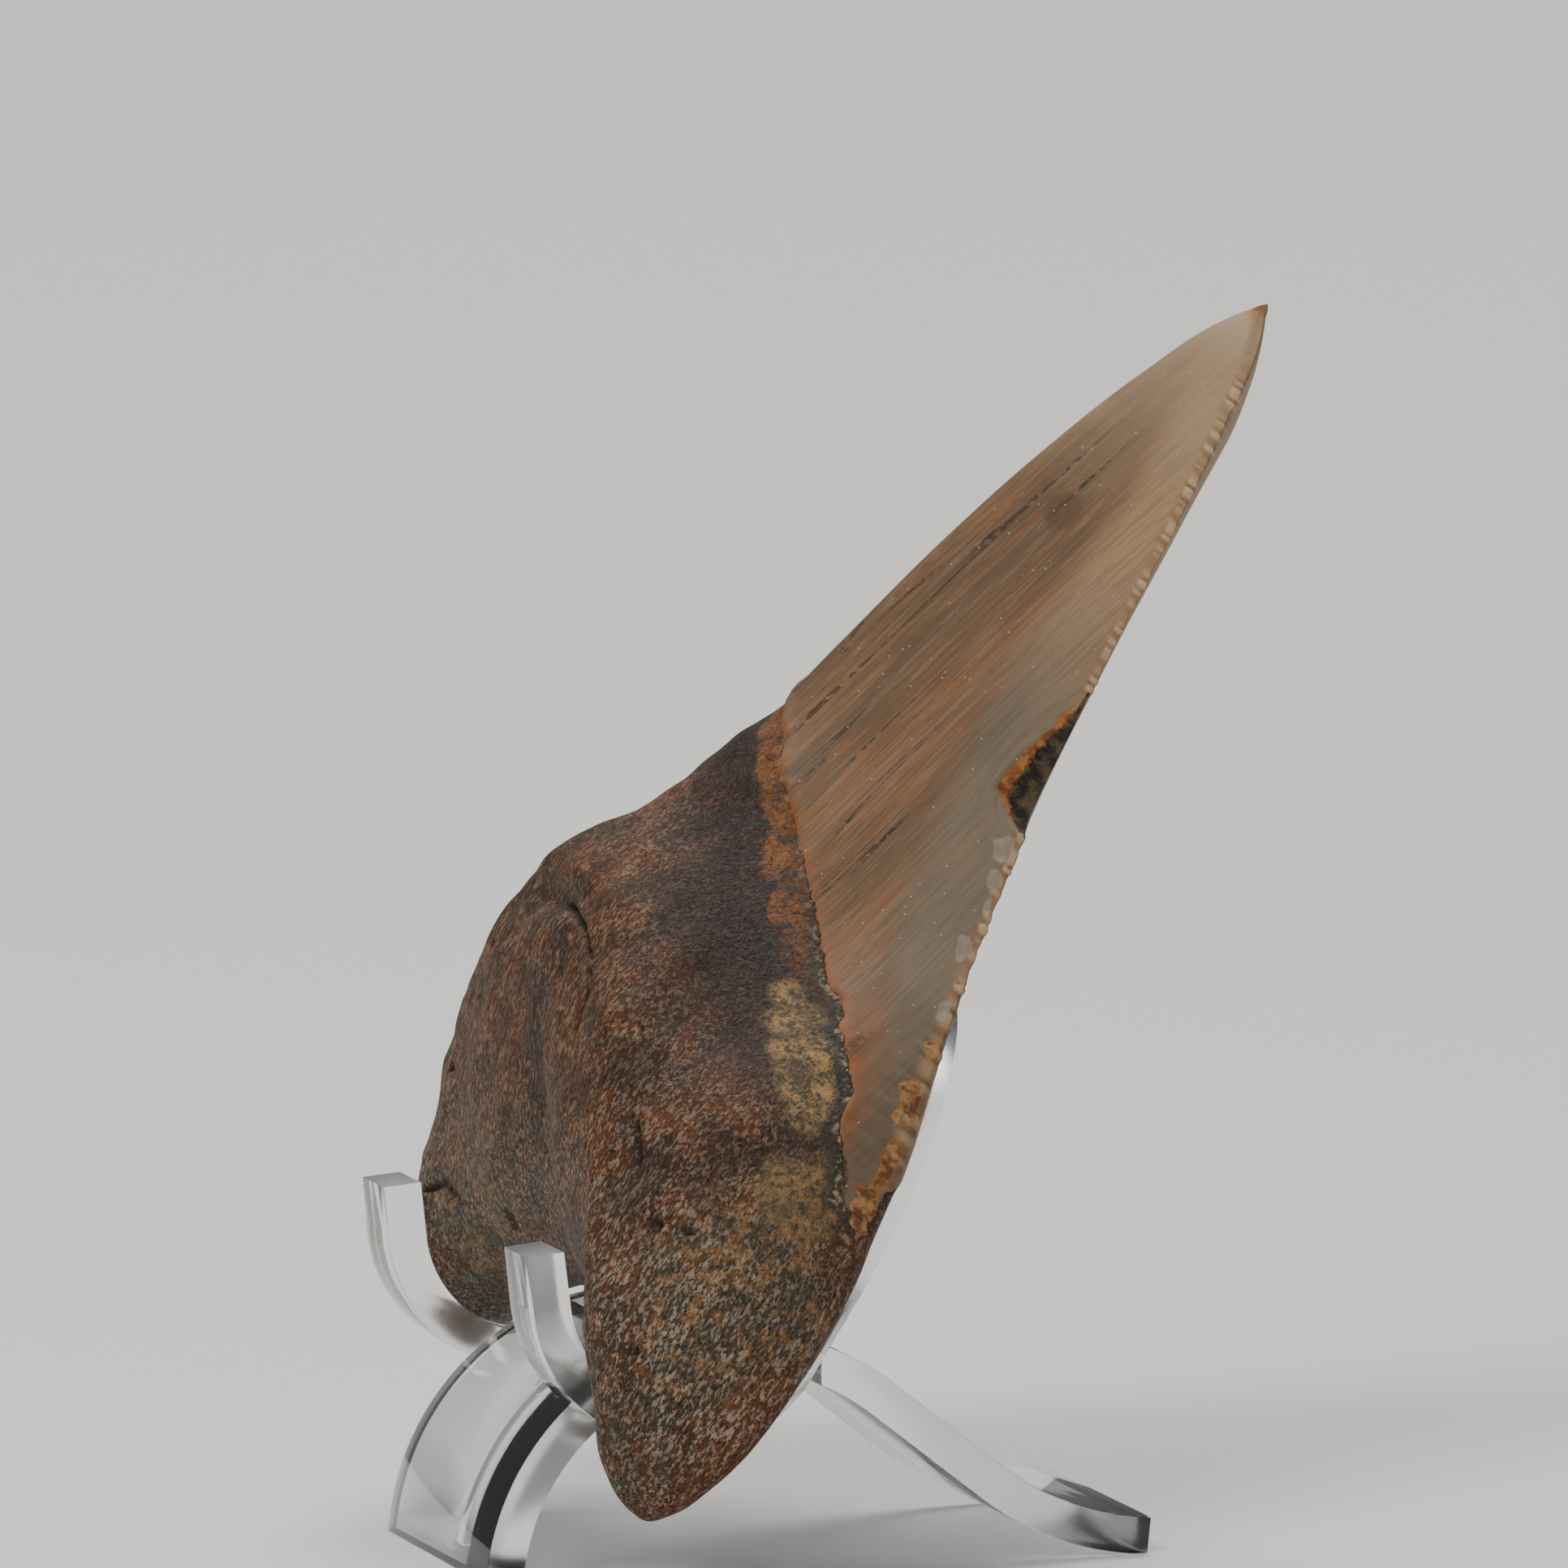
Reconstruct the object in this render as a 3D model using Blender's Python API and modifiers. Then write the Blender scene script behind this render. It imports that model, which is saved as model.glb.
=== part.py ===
"""A fossil megalodon tooth leaning on its two-piece clear display stand.

Sizes below are millimetres; MM turns them into metres as each mesh is made.
Places are given from the point of the table under the arch's middle. +Z is up, the
stand's hooks face -Y, and the tooth leans back toward +Y. BOX_CENTRE then becomes the origin.
Tooth frame: across (toward +X), down (from the tip to the root) and out (toward the
bulging tongue side), with the tooth's edges lying near out = 0.
"""

import math

import bmesh
import bpy
import numpy as np
from mathutils import Matrix, Vector

MM = 0.001
BOX_CENTRE = Vector((-1.7, 6.74, 0.0))

# Tooth: place and lean
TIP = Vector((-4.0, 35.6, 79.4))
LEAN = math.radians(34.0)

# Tooth: outline seen from the front, as (across, down)
NEAR_EDGE = ((0.0, 0.0), (2.9, 2.4), (5.9, 7.5), (9.7, 16.0), (13.1, 26.0), (16.6, 35.5),
             (20.9, 45.0), (26.0, 55.0), (31.0, 64.5), (34.2, 72.0), (35.0, 79.0))
FAR_EDGE = ((0.0, 0.0), (-2.4, 2.4), (-4.9, 7.5), (-8.3, 16.0), (-12.2, 26.0), (-16.0, 35.5),
            (-20.3, 45.0), (-25.0, 54.0), (-28.8, 62.0), (-30.4, 69.0), (-29.4, 76.5))
ROOT_BASE = ((-29.4, 76.5), (-26.4, 82.2), (-20.8, 84.2), (-15.4, 81.6), (-8.0, 79.0), (3.0, 78.0),
             (12.5, 78.6), (19.0, 79.9), (24.4, 82.6), (28.0, 87.6), (31.2, 89.6), (34.4, 86.4), (35.0, 79.0))
ROW_BEND = 3.0

# Tooth: how far the tongue side stands out along its crest, by distance down
CREST = ((0.0, 0.2), (2.2, 1.7), (8.2, 4.3), (16.2, 6.9), (25.0, 9.1), (33.4, 10.9), (39.5, 12.4),
         (44.5, 14.0), (48.6, 15.4), (52.0, 17.5), (56.0, 19.2), (62.0, 19.8), (90.0, 19.8))
ROOT_ROUND_FROM = 0.65
ROOT_ROUND_POWER = 2.1
CROWN_SECTION = (1.7, 1.2)
ROOT_SECTION = (3.2, 0.55)
SECTION_CHANGE = (0.58, 0.80)
CREST_SHIFT = -0.12

# Tooth: flat lip side
CROWN_BACK = 2.0
ROOT_BACK = 2.3
ROOT_BACK_SECTION = (5.0, 0.5)
LIP_START = (-0.02, 0.12)
BACK_ROUND_FROM = 0.84
BASE_OUT = 4.6
BACK_ROUND_POWER = 2.2
EDGE_BOW = {"out": 0.7, "length": 60.0, "fade": (0.7, 0.9)}

# Tooth: forms on the tongue side, as places (across, down)
VALLEY = {"from_row": 0.76, "depth": 2.6, "width": 0.20}
GROOVE = {"at": (-3.5, 57.6), "depth": 1.3, "size": (7.0, 1.3)}
ENAMEL_STEP = 0.25
ENAMEL_BLEND = 0.9
CHIP = {"down": (28.4, 39.2), "cut": 1.1, "reach": 3.4, "top_ramp": 3.0, "foot_ramp": 1.2}
LUMPS = ((17.0, 63.0, 3.6, 0.7), (24.0, 74.0, 3.0, -0.5), (8.0, 66.0, 3.0, 0.6), (-17.0, 72.0, 10.0, -2.4),
         (-22.0, 74.0, 3.2, -0.5), (-9.0, 54.0, 3.0, 0.5), (13.0, 56.0, 3.2, -0.5), (28.0, 80.5, 2.4, 0.5))

# Tooth: enamel's lower edge on the tongue side, as (distance across from the middle line, distance down)
MIDDLE_LINE = -4.0
ENAMEL_EDGE = ((0.0, 37.4), (3.5, 39.3), (11.8, 45.2), (18.9, 50.6), (23.0, 53.4), (28.2, 56.8),
               (33.2, 62.0), (35.5, 66.0))

# Tooth: mesh of the solid, with rows crowded toward the tip
ROWS = 58
COLUMNS = 26
ROW_CROWDING = 0.10
TIP_POINT = (0.0, -0.25, 0.1)

# Stand: one sheet thickness for both pieces
SHEET = 2.5
EDGE_ROUND = 0.5
ARC_STEP = 6.0
BEVEL_SEGMENTS = 2
BEVEL_ANGLE = math.radians(35.0)
SMOOTH_ANGLE = math.radians(40.0)
CUTTER_REACH = 60.0

# Stand arch: from the front foot over to the rear foot, as (length or radius, turn in degrees)
ARCH_START = (-21.0, -1.0)
ARCH_HEADING = 83.0
ARCH_BENDS = ((1.8, 0.0), (15.5, -83.0), (16.0, -38.0), (9.5, 0.0), (19.0, 32.0), (1.0, 0.0))
ARCH_WIDTH = 23.3
NECK = {"width": 16.6, "front": -7.2, "rear": 0.4}

# Stand cradle: from the seat's lowest point, forward to the hooks and back up to the rounded top
SEAT = (-10.2, 10.85)
HOOK_BENDS = ((11.5, -25.0), (8.6, -59.0), (3.6, 0.0))
REST_BENDS = ((8.0, 56.0), (27.0, 0.0))
CRADLE_WIDTH = 40.0
TRIMMED = 4.0
REST_TOP = {"taper_from": -14.0, "radius": 18.6, "height": 21.0, "power": 1.6, "steps": 14}
SLOT = {"hook_gap": 28.5, "neck_gap": 17.4, "wide_until": -8.6, "until": -0.3, "corner": 2.5, "corner_steps": 4}

COLOURS = {
    "fossil": ((0.30, 0.17, 0.09, 1.0), 0.5),
    "clear": ((0.86, 0.90, 0.92, 1.0), 0.08),
}


def through(knots, values, at):
    """A smooth curve through the values at their knots, read at the given places."""
    knots = np.array(knots, float)
    values = np.array(values, float)
    slopes = np.gradient(values, knots, axis=0)
    at = np.asarray(at, float)
    i = np.clip(np.searchsorted(knots, at, side="right") - 1, 0, len(knots) - 2)
    width = knots[i + 1] - knots[i]
    t = np.clip((at - knots[i]) / width, 0.0, 1.0)
    if values.ndim > 1:
        width, t = width[..., None], t[..., None]
    start = (2 * t**3 - 3 * t**2 + 1) * values[i] + (t**3 - 2 * t**2 + t) * width * slopes[i]
    end = (3 * t**2 - 2 * t**3) * values[i + 1] + (t**3 - t**2) * width * slopes[i + 1]
    return start + end


def along(points, share):
    """A smooth curve through the points, read at shares of its length."""
    points = np.array(points, float)
    steps = np.linalg.norm(np.diff(points, axis=0), axis=1)
    knots = np.concatenate([[0.0], np.cumsum(steps)])
    return through(knots / knots[-1], points, share)


def ramp(value, low, high):
    """0 below low, 1 above high, and smooth between."""
    t = np.clip((value - low) / (high - low), 0.0, 1.0)
    return t * t * (3 - 2 * t)


def tooth_outline(u, v):
    """Places (across, down) for columns u from -1 at the far edge to 1 at the near edge, rows v from tip to base."""
    share = ((u + 1) / 2)[..., None]
    near_at = v * NEAR_EDGE[-1][1]
    far_at = v * FAR_EDGE[-1][1]
    near = np.stack([through([p[1] for p in NEAR_EDGE], [p[0] for p in NEAR_EDGE], near_at), near_at], -1)
    far = np.stack([through([p[1] for p in FAR_EDGE], [p[0] for p in FAR_EDGE], far_at), far_at], -1)
    between = far * (1 - share) + near * share
    corners = np.array(ROOT_BASE[0]) * (1 - share) + np.array(ROOT_BASE[-1]) * share
    return between + (along(ROOT_BASE, (u + 1) / 2) - corners) * (v**ROW_BEND)[..., None]


def enamel_line(across):
    """Distance down of the enamel's lower edge on the tongue side."""
    return through([p[0] for p in ENAMEL_EDGE], [p[1] for p in ENAMEL_EDGE], np.abs(across - MIDDLE_LINE))


def tooth_heights(u, v, across, down):
    """How far the tongue side and the lip side stand from the plane of the edges."""
    aside = np.clip(np.abs(u - CREST_SHIFT * (1 - u * u)), 0.0, 1.0)
    root = ramp(v, *SECTION_CHANGE)
    width_power = CROWN_SECTION[0] * (1 - root) + ROOT_SECTION[0] * root
    fall_power = CROWN_SECTION[1] * (1 - root) + ROOT_SECTION[1] * root
    section = (1 - aside**width_power) ** fall_power
    late = np.clip((v - ROOT_ROUND_FROM) / (1 - ROOT_ROUND_FROM), 0.0, 1.0)
    rounding = np.sqrt(np.clip(1 - late**ROOT_ROUND_POWER, 0.0, 1.0))
    seam = BASE_OUT * (1 - u * u)
    tongue = through([p[0] for p in CREST], [p[1] for p in CREST], down) * section * rounding
    tongue = tongue + seam * (1 - rounding)

    inside = section**0.5 * rounding**0.5
    valley = np.exp(-((u / VALLEY["width"]) ** 2)) * ramp(v, VALLEY["from_row"], 1.0)
    tongue = tongue - VALLEY["depth"] * valley * inside
    groove_x, groove_y = GROOVE["size"]
    groove = np.exp(-(((across - GROOVE["at"][0]) / groove_x) ** 2) - ((down - GROOVE["at"][1]) / groove_y) ** 2)
    tongue = tongue - GROOVE["depth"] * groove
    for lump_across, lump_down, size, height in LUMPS:
        away = ((across - lump_across) ** 2 + (down - lump_down) ** 2) / size**2
        tongue = tongue + height * np.exp(-away) * inside
    enamel = 1 - ramp(down - enamel_line(across), -ENAMEL_BLEND, ENAMEL_BLEND)
    tongue = tongue + ENAMEL_STEP * enamel * np.clip(inside * 2, 0.0, 1.0)

    back_width_power, back_fall_power = ROOT_BACK_SECTION
    root_bulge = ROOT_BACK * (1 - np.abs(u) ** back_width_power) ** back_fall_power
    lip_bulge = CROWN_BACK * (1 - root) * (1 - u * u) + root * root_bulge
    last = np.clip((v - BACK_ROUND_FROM) / (1 - BACK_ROUND_FROM), 0.0, 1.0)
    back_rounding = np.sqrt(1 - last**BACK_ROUND_POWER)
    lip = lip_bulge * back_rounding * ramp(v, *LIP_START) - seam * (1 - back_rounding)
    return np.maximum(tongue, 0.0), lip


def chip_cut(u, down):
    """Share of the full bite taken out of the near edge at this distance down."""
    top, bottom = CHIP["down"]
    inside = ramp(down, top, top + CHIP["top_ramp"]) * (1 - ramp(down, bottom - CHIP["foot_ramp"], bottom))
    return inside * (u > 0)


def tooth_sheet(u, v):
    """Points of the tongue side and of the lip side, in the tooth's frame."""
    place = tooth_outline(u, v)
    across, down = place[..., 0], place[..., 1]
    tongue, lip = tooth_heights(u, v, across, down)
    edge = through([p[1] for p in NEAR_EDGE], [p[0] for p in NEAR_EDGE], down)
    bite = chip_cut(u, down)
    from_edge = edge - across
    across = across - CHIP["cut"] * bite * ramp(-from_edge, -CHIP["reach"], 0.0)
    from_break = np.clip(edge - CHIP["cut"] * bite - across, 0.0, None)
    tongue = tongue * (1 - bite * (1 - np.clip(from_break / CHIP["reach"], 0.0, 1.0)))
    bow = EDGE_BOW["out"] * np.sin(np.pi * np.clip(down / EDGE_BOW["length"], 0.0, 1.0))
    bow = bow * (1 - ramp(v, *EDGE_BOW["fade"]))
    front = np.stack([across, down, bow + tongue], -1)
    back = np.stack([across, down, bow - lip], -1)
    return front, back


def tooth_to_world(points):
    """World place of points given as (across, down, out) in the tooth's frame."""
    across_axis = np.array([1.0, 0.0, 0.0])
    down_axis = np.array([0.0, -math.sin(LEAN), -math.cos(LEAN)])
    out_axis = np.array([0.0, -math.cos(LEAN), math.sin(LEAN)])
    frame = np.stack([across_axis, down_axis, out_axis])
    return np.array(TIP) + points @ frame


def tooth_mesh():
    """A closed loft: a ring of points around each row, with one point at the tip."""
    columns = np.sin(np.linspace(-math.pi / 2, math.pi / 2, COLUMNS + 1))
    steps = np.linspace(0.0, 1.0, ROWS + 1)[1:]
    rows = steps - ROW_CROWDING * np.sin(2 * np.pi * steps) * steps
    u, v = np.meshgrid(columns, rows)
    front, back = tooth_sheet(u, v)
    front, back = tooth_to_world(front), tooth_to_world(back)

    mesh = bmesh.new()
    rings = []
    for row in range(ROWS):
        last = row == ROWS - 1
        upper = [mesh.verts.new(p * MM) for p in front[row]]
        inner = upper[1:-1] if last else [mesh.verts.new(p * MM) for p in back[row][1:-1]]
        rings.append((upper, [upper[0]] + inner + [upper[-1]]))
    tip = mesh.verts.new(tooth_to_world(np.array(TIP_POINT)) * MM)
    for column in range(COLUMNS):
        upper, inner = rings[0]
        mesh.faces.new((tip, upper[column], upper[column + 1]))
        mesh.faces.new((tip, inner[column + 1], inner[column]))
    for (upper, inner), (next_upper, next_inner) in zip(rings, rings[1:]):
        for column in range(COLUMNS):
            mesh.faces.new((upper[column], next_upper[column], next_upper[column + 1], upper[column + 1]))
            mesh.faces.new((inner[column], inner[column + 1], next_inner[column + 1], next_inner[column]))
    bmesh.ops.recalc_face_normals(mesh, faces=mesh.faces)
    return mesh


def bent_line(start, heading, bends):
    """Points (y, z) of a line of straight runs and arcs; a bend is (length, 0) or (radius, turn in degrees)."""
    points = [Vector(start)]
    angle = math.radians(heading)
    for size, turn in bends:
        if turn == 0:
            points.append(points[-1] + Vector((math.cos(angle), math.sin(angle))) * size)
            continue
        count = max(1, round(abs(turn) / ARC_STEP))
        step = math.radians(turn) / count
        chord = 2 * size * math.sin(abs(step) / 2)
        for _ in range(count):
            middle = angle + step / 2
            points.append(points[-1] + Vector((math.cos(middle), math.sin(middle))) * chord)
            angle += step
    return points


def new_object(name, mesh, collection, colour=None):
    data = bpy.data.meshes.new(name)
    mesh.to_mesh(data)
    mesh.free()
    made = bpy.data.objects.new(name, data)
    made.parent = bpy.data.objects["table_point"]
    collection.objects.link(made)
    if colour:
        data.materials.append(colour)
        data.shade_smooth()
        data.set_sharp_from_angle(angle=SMOOTH_ANGLE)
    return made


def bent_sheet(name, line, width, collection, colour):
    """A sheet of the stand's thickness, bent along the line and centred on x = 0."""
    mesh = bmesh.new()
    rows = [[mesh.verts.new(Vector((x, y, z)) * MM) for x in (-width / 2, width / 2)] for y, z in line]
    for (left, right), (next_left, next_right) in zip(rows, rows[1:]):
        mesh.faces.new((left, right, next_right, next_left))
    made = new_object(name, mesh, collection, colour)
    solid = made.modifiers.new("Sheet", "SOLIDIFY")
    solid.thickness = SHEET * MM
    solid.offset = 0.0
    solid.use_even_offset = True
    return made


def prism(name, outline, low, high, collection):
    """A cutter: the closed outline (x, y), standing from low to high along its own z."""
    mesh = bmesh.new()
    floor = [mesh.verts.new(Vector((x, y, low)) * MM) for x, y in outline]
    face = mesh.faces.new(floor)
    raised = bmesh.ops.extrude_face_region(mesh, geom=[face])["geom"]
    lift = Vector((0.0, 0.0, high - low)) * MM
    bmesh.ops.translate(mesh, verts=[v for v in raised if isinstance(v, bmesh.types.BMVert)], vec=lift)
    bmesh.ops.recalc_face_normals(mesh, faces=mesh.faces)
    made = new_object(name, mesh, collection)
    made.hide_render = True
    made.display_type = "WIRE"
    return made


def cut(target, tool, operation="DIFFERENCE"):
    boolean = target.modifiers.new(tool.name, "BOOLEAN")
    boolean.operation = operation
    boolean.object = tool


def round_edges(target):
    bevel = target.modifiers.new("Rounded edges", "BEVEL")
    bevel.width = EDGE_ROUND * MM
    bevel.segments = BEVEL_SEGMENTS
    bevel.limit_method = "ANGLE"
    bevel.angle_limit = BEVEL_ANGLE


def slot_outline():
    """Seen from above: wide between the hooks, then narrow where the arch's neck passes."""
    wide, narrow = SLOT["hook_gap"] / 2, SLOT["neck_gap"] / 2
    radius, count = SLOT["corner"], SLOT["corner_steps"]
    right = [(wide, -CUTTER_REACH), (wide, SLOT["wide_until"] - radius)]
    for step in range(1, count + 1):
        turn = math.radians(90 * step / count)
        right.append((wide - radius * (1 - math.cos(turn)), SLOT["wide_until"] - radius + radius * math.sin(turn)))
    right += [(narrow, SLOT["wide_until"]), (narrow, SLOT["until"])]
    return right + [(-x, y) for x, y in reversed(right)]


def rest_outline():
    """Seen square to the back rest: sides that draw in a little, and a rounded top."""
    half = CRADLE_WIDTH / 2
    power = REST_TOP["power"]
    count = REST_TOP["steps"]
    side = []
    for step in range(count + 1):
        angle = math.radians(90 * step / count)
        rise = math.sin(angle) ** (2 / power)
        side.append((REST_TOP["radius"] * math.cos(angle) ** (2 / power), REST_TOP["height"] * rise))
    right = [(half, -CUTTER_REACH), (half, REST_TOP["taper_from"])] + side[:-1]
    return right + [(0.0, REST_TOP["height"])] + [(-x, y) for x, y in reversed(right)]


def cradle(parts, cutters, colour):
    """Two hooks in front, a seat, and the back rest behind, all from one bent sheet."""
    forward = bent_line((-SEAT[0], SEAT[1]), 0.0, [(size, -turn) for size, turn in HOOK_BENDS])
    hooks = [Vector((-y, z)) for y, z in forward]
    rest = bent_line(SEAT, 0.0, REST_BENDS)
    line = hooks[::-1] + rest[1:]
    made = bent_sheet("cradle", line, CRADLE_WIDTH + TRIMMED, parts, colour)

    slot = prism("cradle_slot", slot_outline(), 0.0, CUTTER_REACH, cutters)
    cut(made, slot)
    outline = prism("cradle_outline", rest_outline(), -CUTTER_REACH, CUTTER_REACH, cutters)
    lean = math.radians(REST_BENDS[0][1])
    top = rest[-1] - Vector((math.cos(lean), math.sin(lean))) * REST_TOP["height"]
    outline.matrix_basis = Matrix.Translation(Vector((0.0, *top)) * MM) @ Matrix.Rotation(lean, 4, "X")
    cut(made, outline, "INTERSECT")
    round_edges(made)
    return made


def arch(parts, cutters, colour):
    """The wide arched foot, with a neck that the cradle's slot holds."""
    line = bent_line(ARCH_START, ARCH_HEADING, ARCH_BENDS)
    made = bent_sheet("arch_foot", line, ARCH_WIDTH, parts, colour)
    outer = ARCH_WIDTH
    for side in (-1, 1):
        inner = side * NECK["width"] / 2
        outline = [(inner, NECK["front"]), (side * outer, NECK["front"]),
                   (side * outer, NECK["rear"]), (inner, NECK["rear"])]
        name = "neck_near" if side > 0 else "neck_far"
        cut(made, prism(name, outline, 0.0, CUTTER_REACH, cutters))
    far = CUTTER_REACH
    table = [(-far, -far), (far, -far), (far, far), (-far, far)]
    cut(made, prism("table", table, -far, 0.0, cutters))
    round_edges(made)
    return made


def material(name):
    colour, roughness = COLOURS[name]
    made = bpy.data.materials.new(name)
    made.use_nodes = True
    shader = made.node_tree.nodes["Principled BSDF"]
    shader.inputs["Base Color"].default_value = colour
    shader.inputs["Roughness"].default_value = roughness
    shader.inputs["Metallic"].default_value = 0.0
    return made


def new_collection(name):
    made = bpy.data.collections.new(name)
    bpy.context.scene.collection.children.link(made)
    return made


def main():
    for old in list(bpy.data.objects):
        bpy.data.objects.remove(old)
    parts = new_collection("megalodon_tooth")
    cutters = new_collection("cutters")
    table_point = bpy.data.objects.new("table_point", None)
    table_point.location = -BOX_CENTRE * MM
    parts.objects.link(table_point)
    new_object("tooth", tooth_mesh(), parts, material("fossil"))
    clear = material("clear")
    clear.node_tree.nodes["Principled BSDF"].inputs["Transmission Weight"].default_value = 1.0
    cradle(parts, cutters, clear)
    arch(parts, cutters, clear)


main()
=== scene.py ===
"""The looks of the megalodon tooth on its clear stand.

Sizes are millimetres in the tooth's or the stand's own terms, and MM turns them into metres.
Tooth frame: across (toward +X), down (from the tip to the root) and out (toward the
bulging tongue side). BOX_CENTRE moves places on the table to the model's origin.
"""

import math

import bmesh
import bpy
import numpy as np
from mathutils import Matrix, Vector


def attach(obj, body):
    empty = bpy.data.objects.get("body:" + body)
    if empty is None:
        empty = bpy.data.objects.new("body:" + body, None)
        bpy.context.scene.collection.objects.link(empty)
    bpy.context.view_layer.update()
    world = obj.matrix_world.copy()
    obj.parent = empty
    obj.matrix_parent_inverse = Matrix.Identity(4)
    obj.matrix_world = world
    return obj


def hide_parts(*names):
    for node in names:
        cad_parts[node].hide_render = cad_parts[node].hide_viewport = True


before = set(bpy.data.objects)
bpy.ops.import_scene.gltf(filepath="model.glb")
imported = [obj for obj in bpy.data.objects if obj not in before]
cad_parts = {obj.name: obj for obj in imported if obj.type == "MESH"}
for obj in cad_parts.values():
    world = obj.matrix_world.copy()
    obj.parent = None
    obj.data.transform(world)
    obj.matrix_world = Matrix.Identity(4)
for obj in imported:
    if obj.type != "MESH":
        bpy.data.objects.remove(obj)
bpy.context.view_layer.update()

MM = 0.001
BOX_CENTRE = Vector((-1.7, 6.74, 0.0))

# Camera, as the photograph was taken
AIM = Vector((0.0, 1.4, 49.68))
AZIMUTH = math.radians(73.2)
ELEVATION = math.radians(6.8)
DISTANCE = 1263.16
LENS = 447.2

# Tooth: place and lean
TIP = Vector((-4.0, 35.6, 79.4))
LEAN = math.radians(34.0)

# Tooth: outline seen from the front, as (across, down)
NEAR_EDGE = ((0.0, 0.0), (2.9, 2.4), (5.9, 7.5), (9.7, 16.0), (13.1, 26.0), (16.6, 35.5),
             (20.9, 45.0), (26.0, 55.0), (31.0, 64.5), (34.2, 72.0), (35.0, 79.0))
FAR_EDGE = ((0.0, 0.0), (-2.4, 2.4), (-4.9, 7.5), (-8.3, 16.0), (-12.2, 26.0), (-16.0, 35.5),
            (-20.3, 45.0), (-25.0, 54.0), (-28.8, 62.0), (-30.4, 69.0), (-29.4, 76.5))
ROOT_BASE = ((-29.4, 76.5), (-26.4, 82.2), (-20.8, 84.2), (-15.4, 81.6), (-8.0, 79.0), (3.0, 78.0),
             (12.5, 78.6), (19.0, 79.9), (24.4, 82.6), (28.0, 87.6), (31.2, 89.6), (34.4, 86.4), (35.0, 79.0))
ROW_BEND = 3.0

# Tooth: how far the tongue side stands out along its crest, by distance down
CREST = ((0.0, 0.2), (2.2, 1.7), (8.2, 4.3), (16.2, 6.9), (25.0, 9.1), (33.4, 10.9), (39.5, 12.4),
         (44.5, 14.6), (48.6, 16.0), (52.0, 17.65), (56.0, 19.2), (62.0, 19.8), (90.0, 19.8))
ROOT_ROUND_FROM = 0.65
ROOT_ROUND_POWER = 2.1
CROWN_SECTION = (1.7, 1.2)
ROOT_SECTION = (3.2, 0.55)
SECTION_CHANGE = (0.58, 0.80)
CREST_SHIFT = -0.12

# Tooth: flat lip side
CROWN_BACK = 2.0
ROOT_BACK = 2.3
ROOT_BACK_SECTION = (5.0, 0.5)
LIP_START = (-0.02, 0.12)
BACK_ROUND_FROM = 0.84
BASE_OUT = 4.6
BACK_ROUND_POWER = 2.2
EDGE_BOW = {"out": 0.7, "length": 60.0, "fade": (0.7, 0.9)}

# Tooth: forms on the tongue side, as places (across, down)
VALLEY = {"from_row": 0.76, "depth": 2.6, "width": 0.20}
GROOVE = {"at": (-3.5, 57.6), "depth": 1.3, "size": (7.0, 1.3)}
ENAMEL_STEP = 0.22
ENAMEL_BLEND = 0.25
LUMPS = ((17.0, 63.0, 3.6, 0.7), (24.0, 74.0, 3.0, -0.5), (8.0, 66.0, 3.0, 0.6), (-17.0, 72.0, 10.0, -2.4),
         (-22.0, 74.0, 3.2, -0.5), (-9.0, 54.0, 3.0, 0.5), (13.0, 56.0, 3.2, -0.5), (28.0, 80.5, 2.4, 0.5))

# Tooth: enamel's lower edge on the tongue side, as (distance across from the middle line, distance down)
MIDDLE_LINE = -4.0
ENAMEL_EDGE = ((0.0, 37.4), (3.5, 39.3), (11.8, 45.2), (18.9, 50.6), (23.0, 53.4), (28.2, 56.8),
               (33.2, 62.0), (35.5, 66.0))

# Tooth: enamel's lower edge on the lip side, as (distance down in the middle, extra at the sides)
LIP_ENAMEL = (61.0, 2.0)
LIP_WAVER = {"height": 1.2, "size": 4.0}

# Tooth: the broken edge, as the cut into the outline and the slope's inner end by distance down
CHIP_DOWN = (28.6, 38.9)
CHIP_CUT = ((28.6, 0.0), (31.0, 0.5), (34.0, 1.2), (36.5, 1.6), (38.0, 1.3), (38.9, 0.0))
CHIP_SLOPE = ((28.6, 0.1), (31.3, 1.3), (34.4, 2.5), (36.3, 2.9), (37.8, 2.4), (38.9, 0.2))
CHIP_REACH = 4.5
CHIP_RIM = (0.90, 0.99)
CHIP_JAGGED = {"width": 0.25, "per_mm": 1.3, "least": 0.2}
CHIP_ROUGH = {"height": 0.26, "per_mm": 1.1, "fine": 2.6, "fine_share": 0.5}

# Tooth: serrations along both cutting edges
SERRATION = {"pitch_tip": 0.74, "pitch_base": 1.1, "growth": 0.6, "height": 0.50, "reach": 0.9, "rib": 0.16,
             "rise": (2.5, 6.0), "fade": (60.0, 68.0)}
SERRATION_SHIFTS = ((0.22, 1.7), (0.13, 4.1))
SERRATION_WEAR = (0.65, 0.35, 0.83, 2.3)
RIB_ZONE = {"rise": 0.2, "fade": (0.3, 0.8)}

# Tooth: shallow flakes off the near edge, as (down, distance from the edge, radius, depth)
FLAKES = ((40.4, 1.1, 0.85, 0.32), (42.4, 0.8, 0.60, 0.24), (44.2, 0.5, 0.40, 0.16), (47.4, 1.0, 0.75, 0.30),
          (21.0, 0.5, 0.30, 0.08), (51.6, 0.6, 0.60, 0.22))

# Tooth: deeper chips with dark orange matrix in them, as flakes
MATRIX_CHIPS = ((54.2, 0.3, 0.5, 0.20), (57.6, 0.6, 0.9, 0.38), (61.6, 0.4, 0.8, 0.30),
                (65.2, 0.6, 1.0, 0.32))

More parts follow.
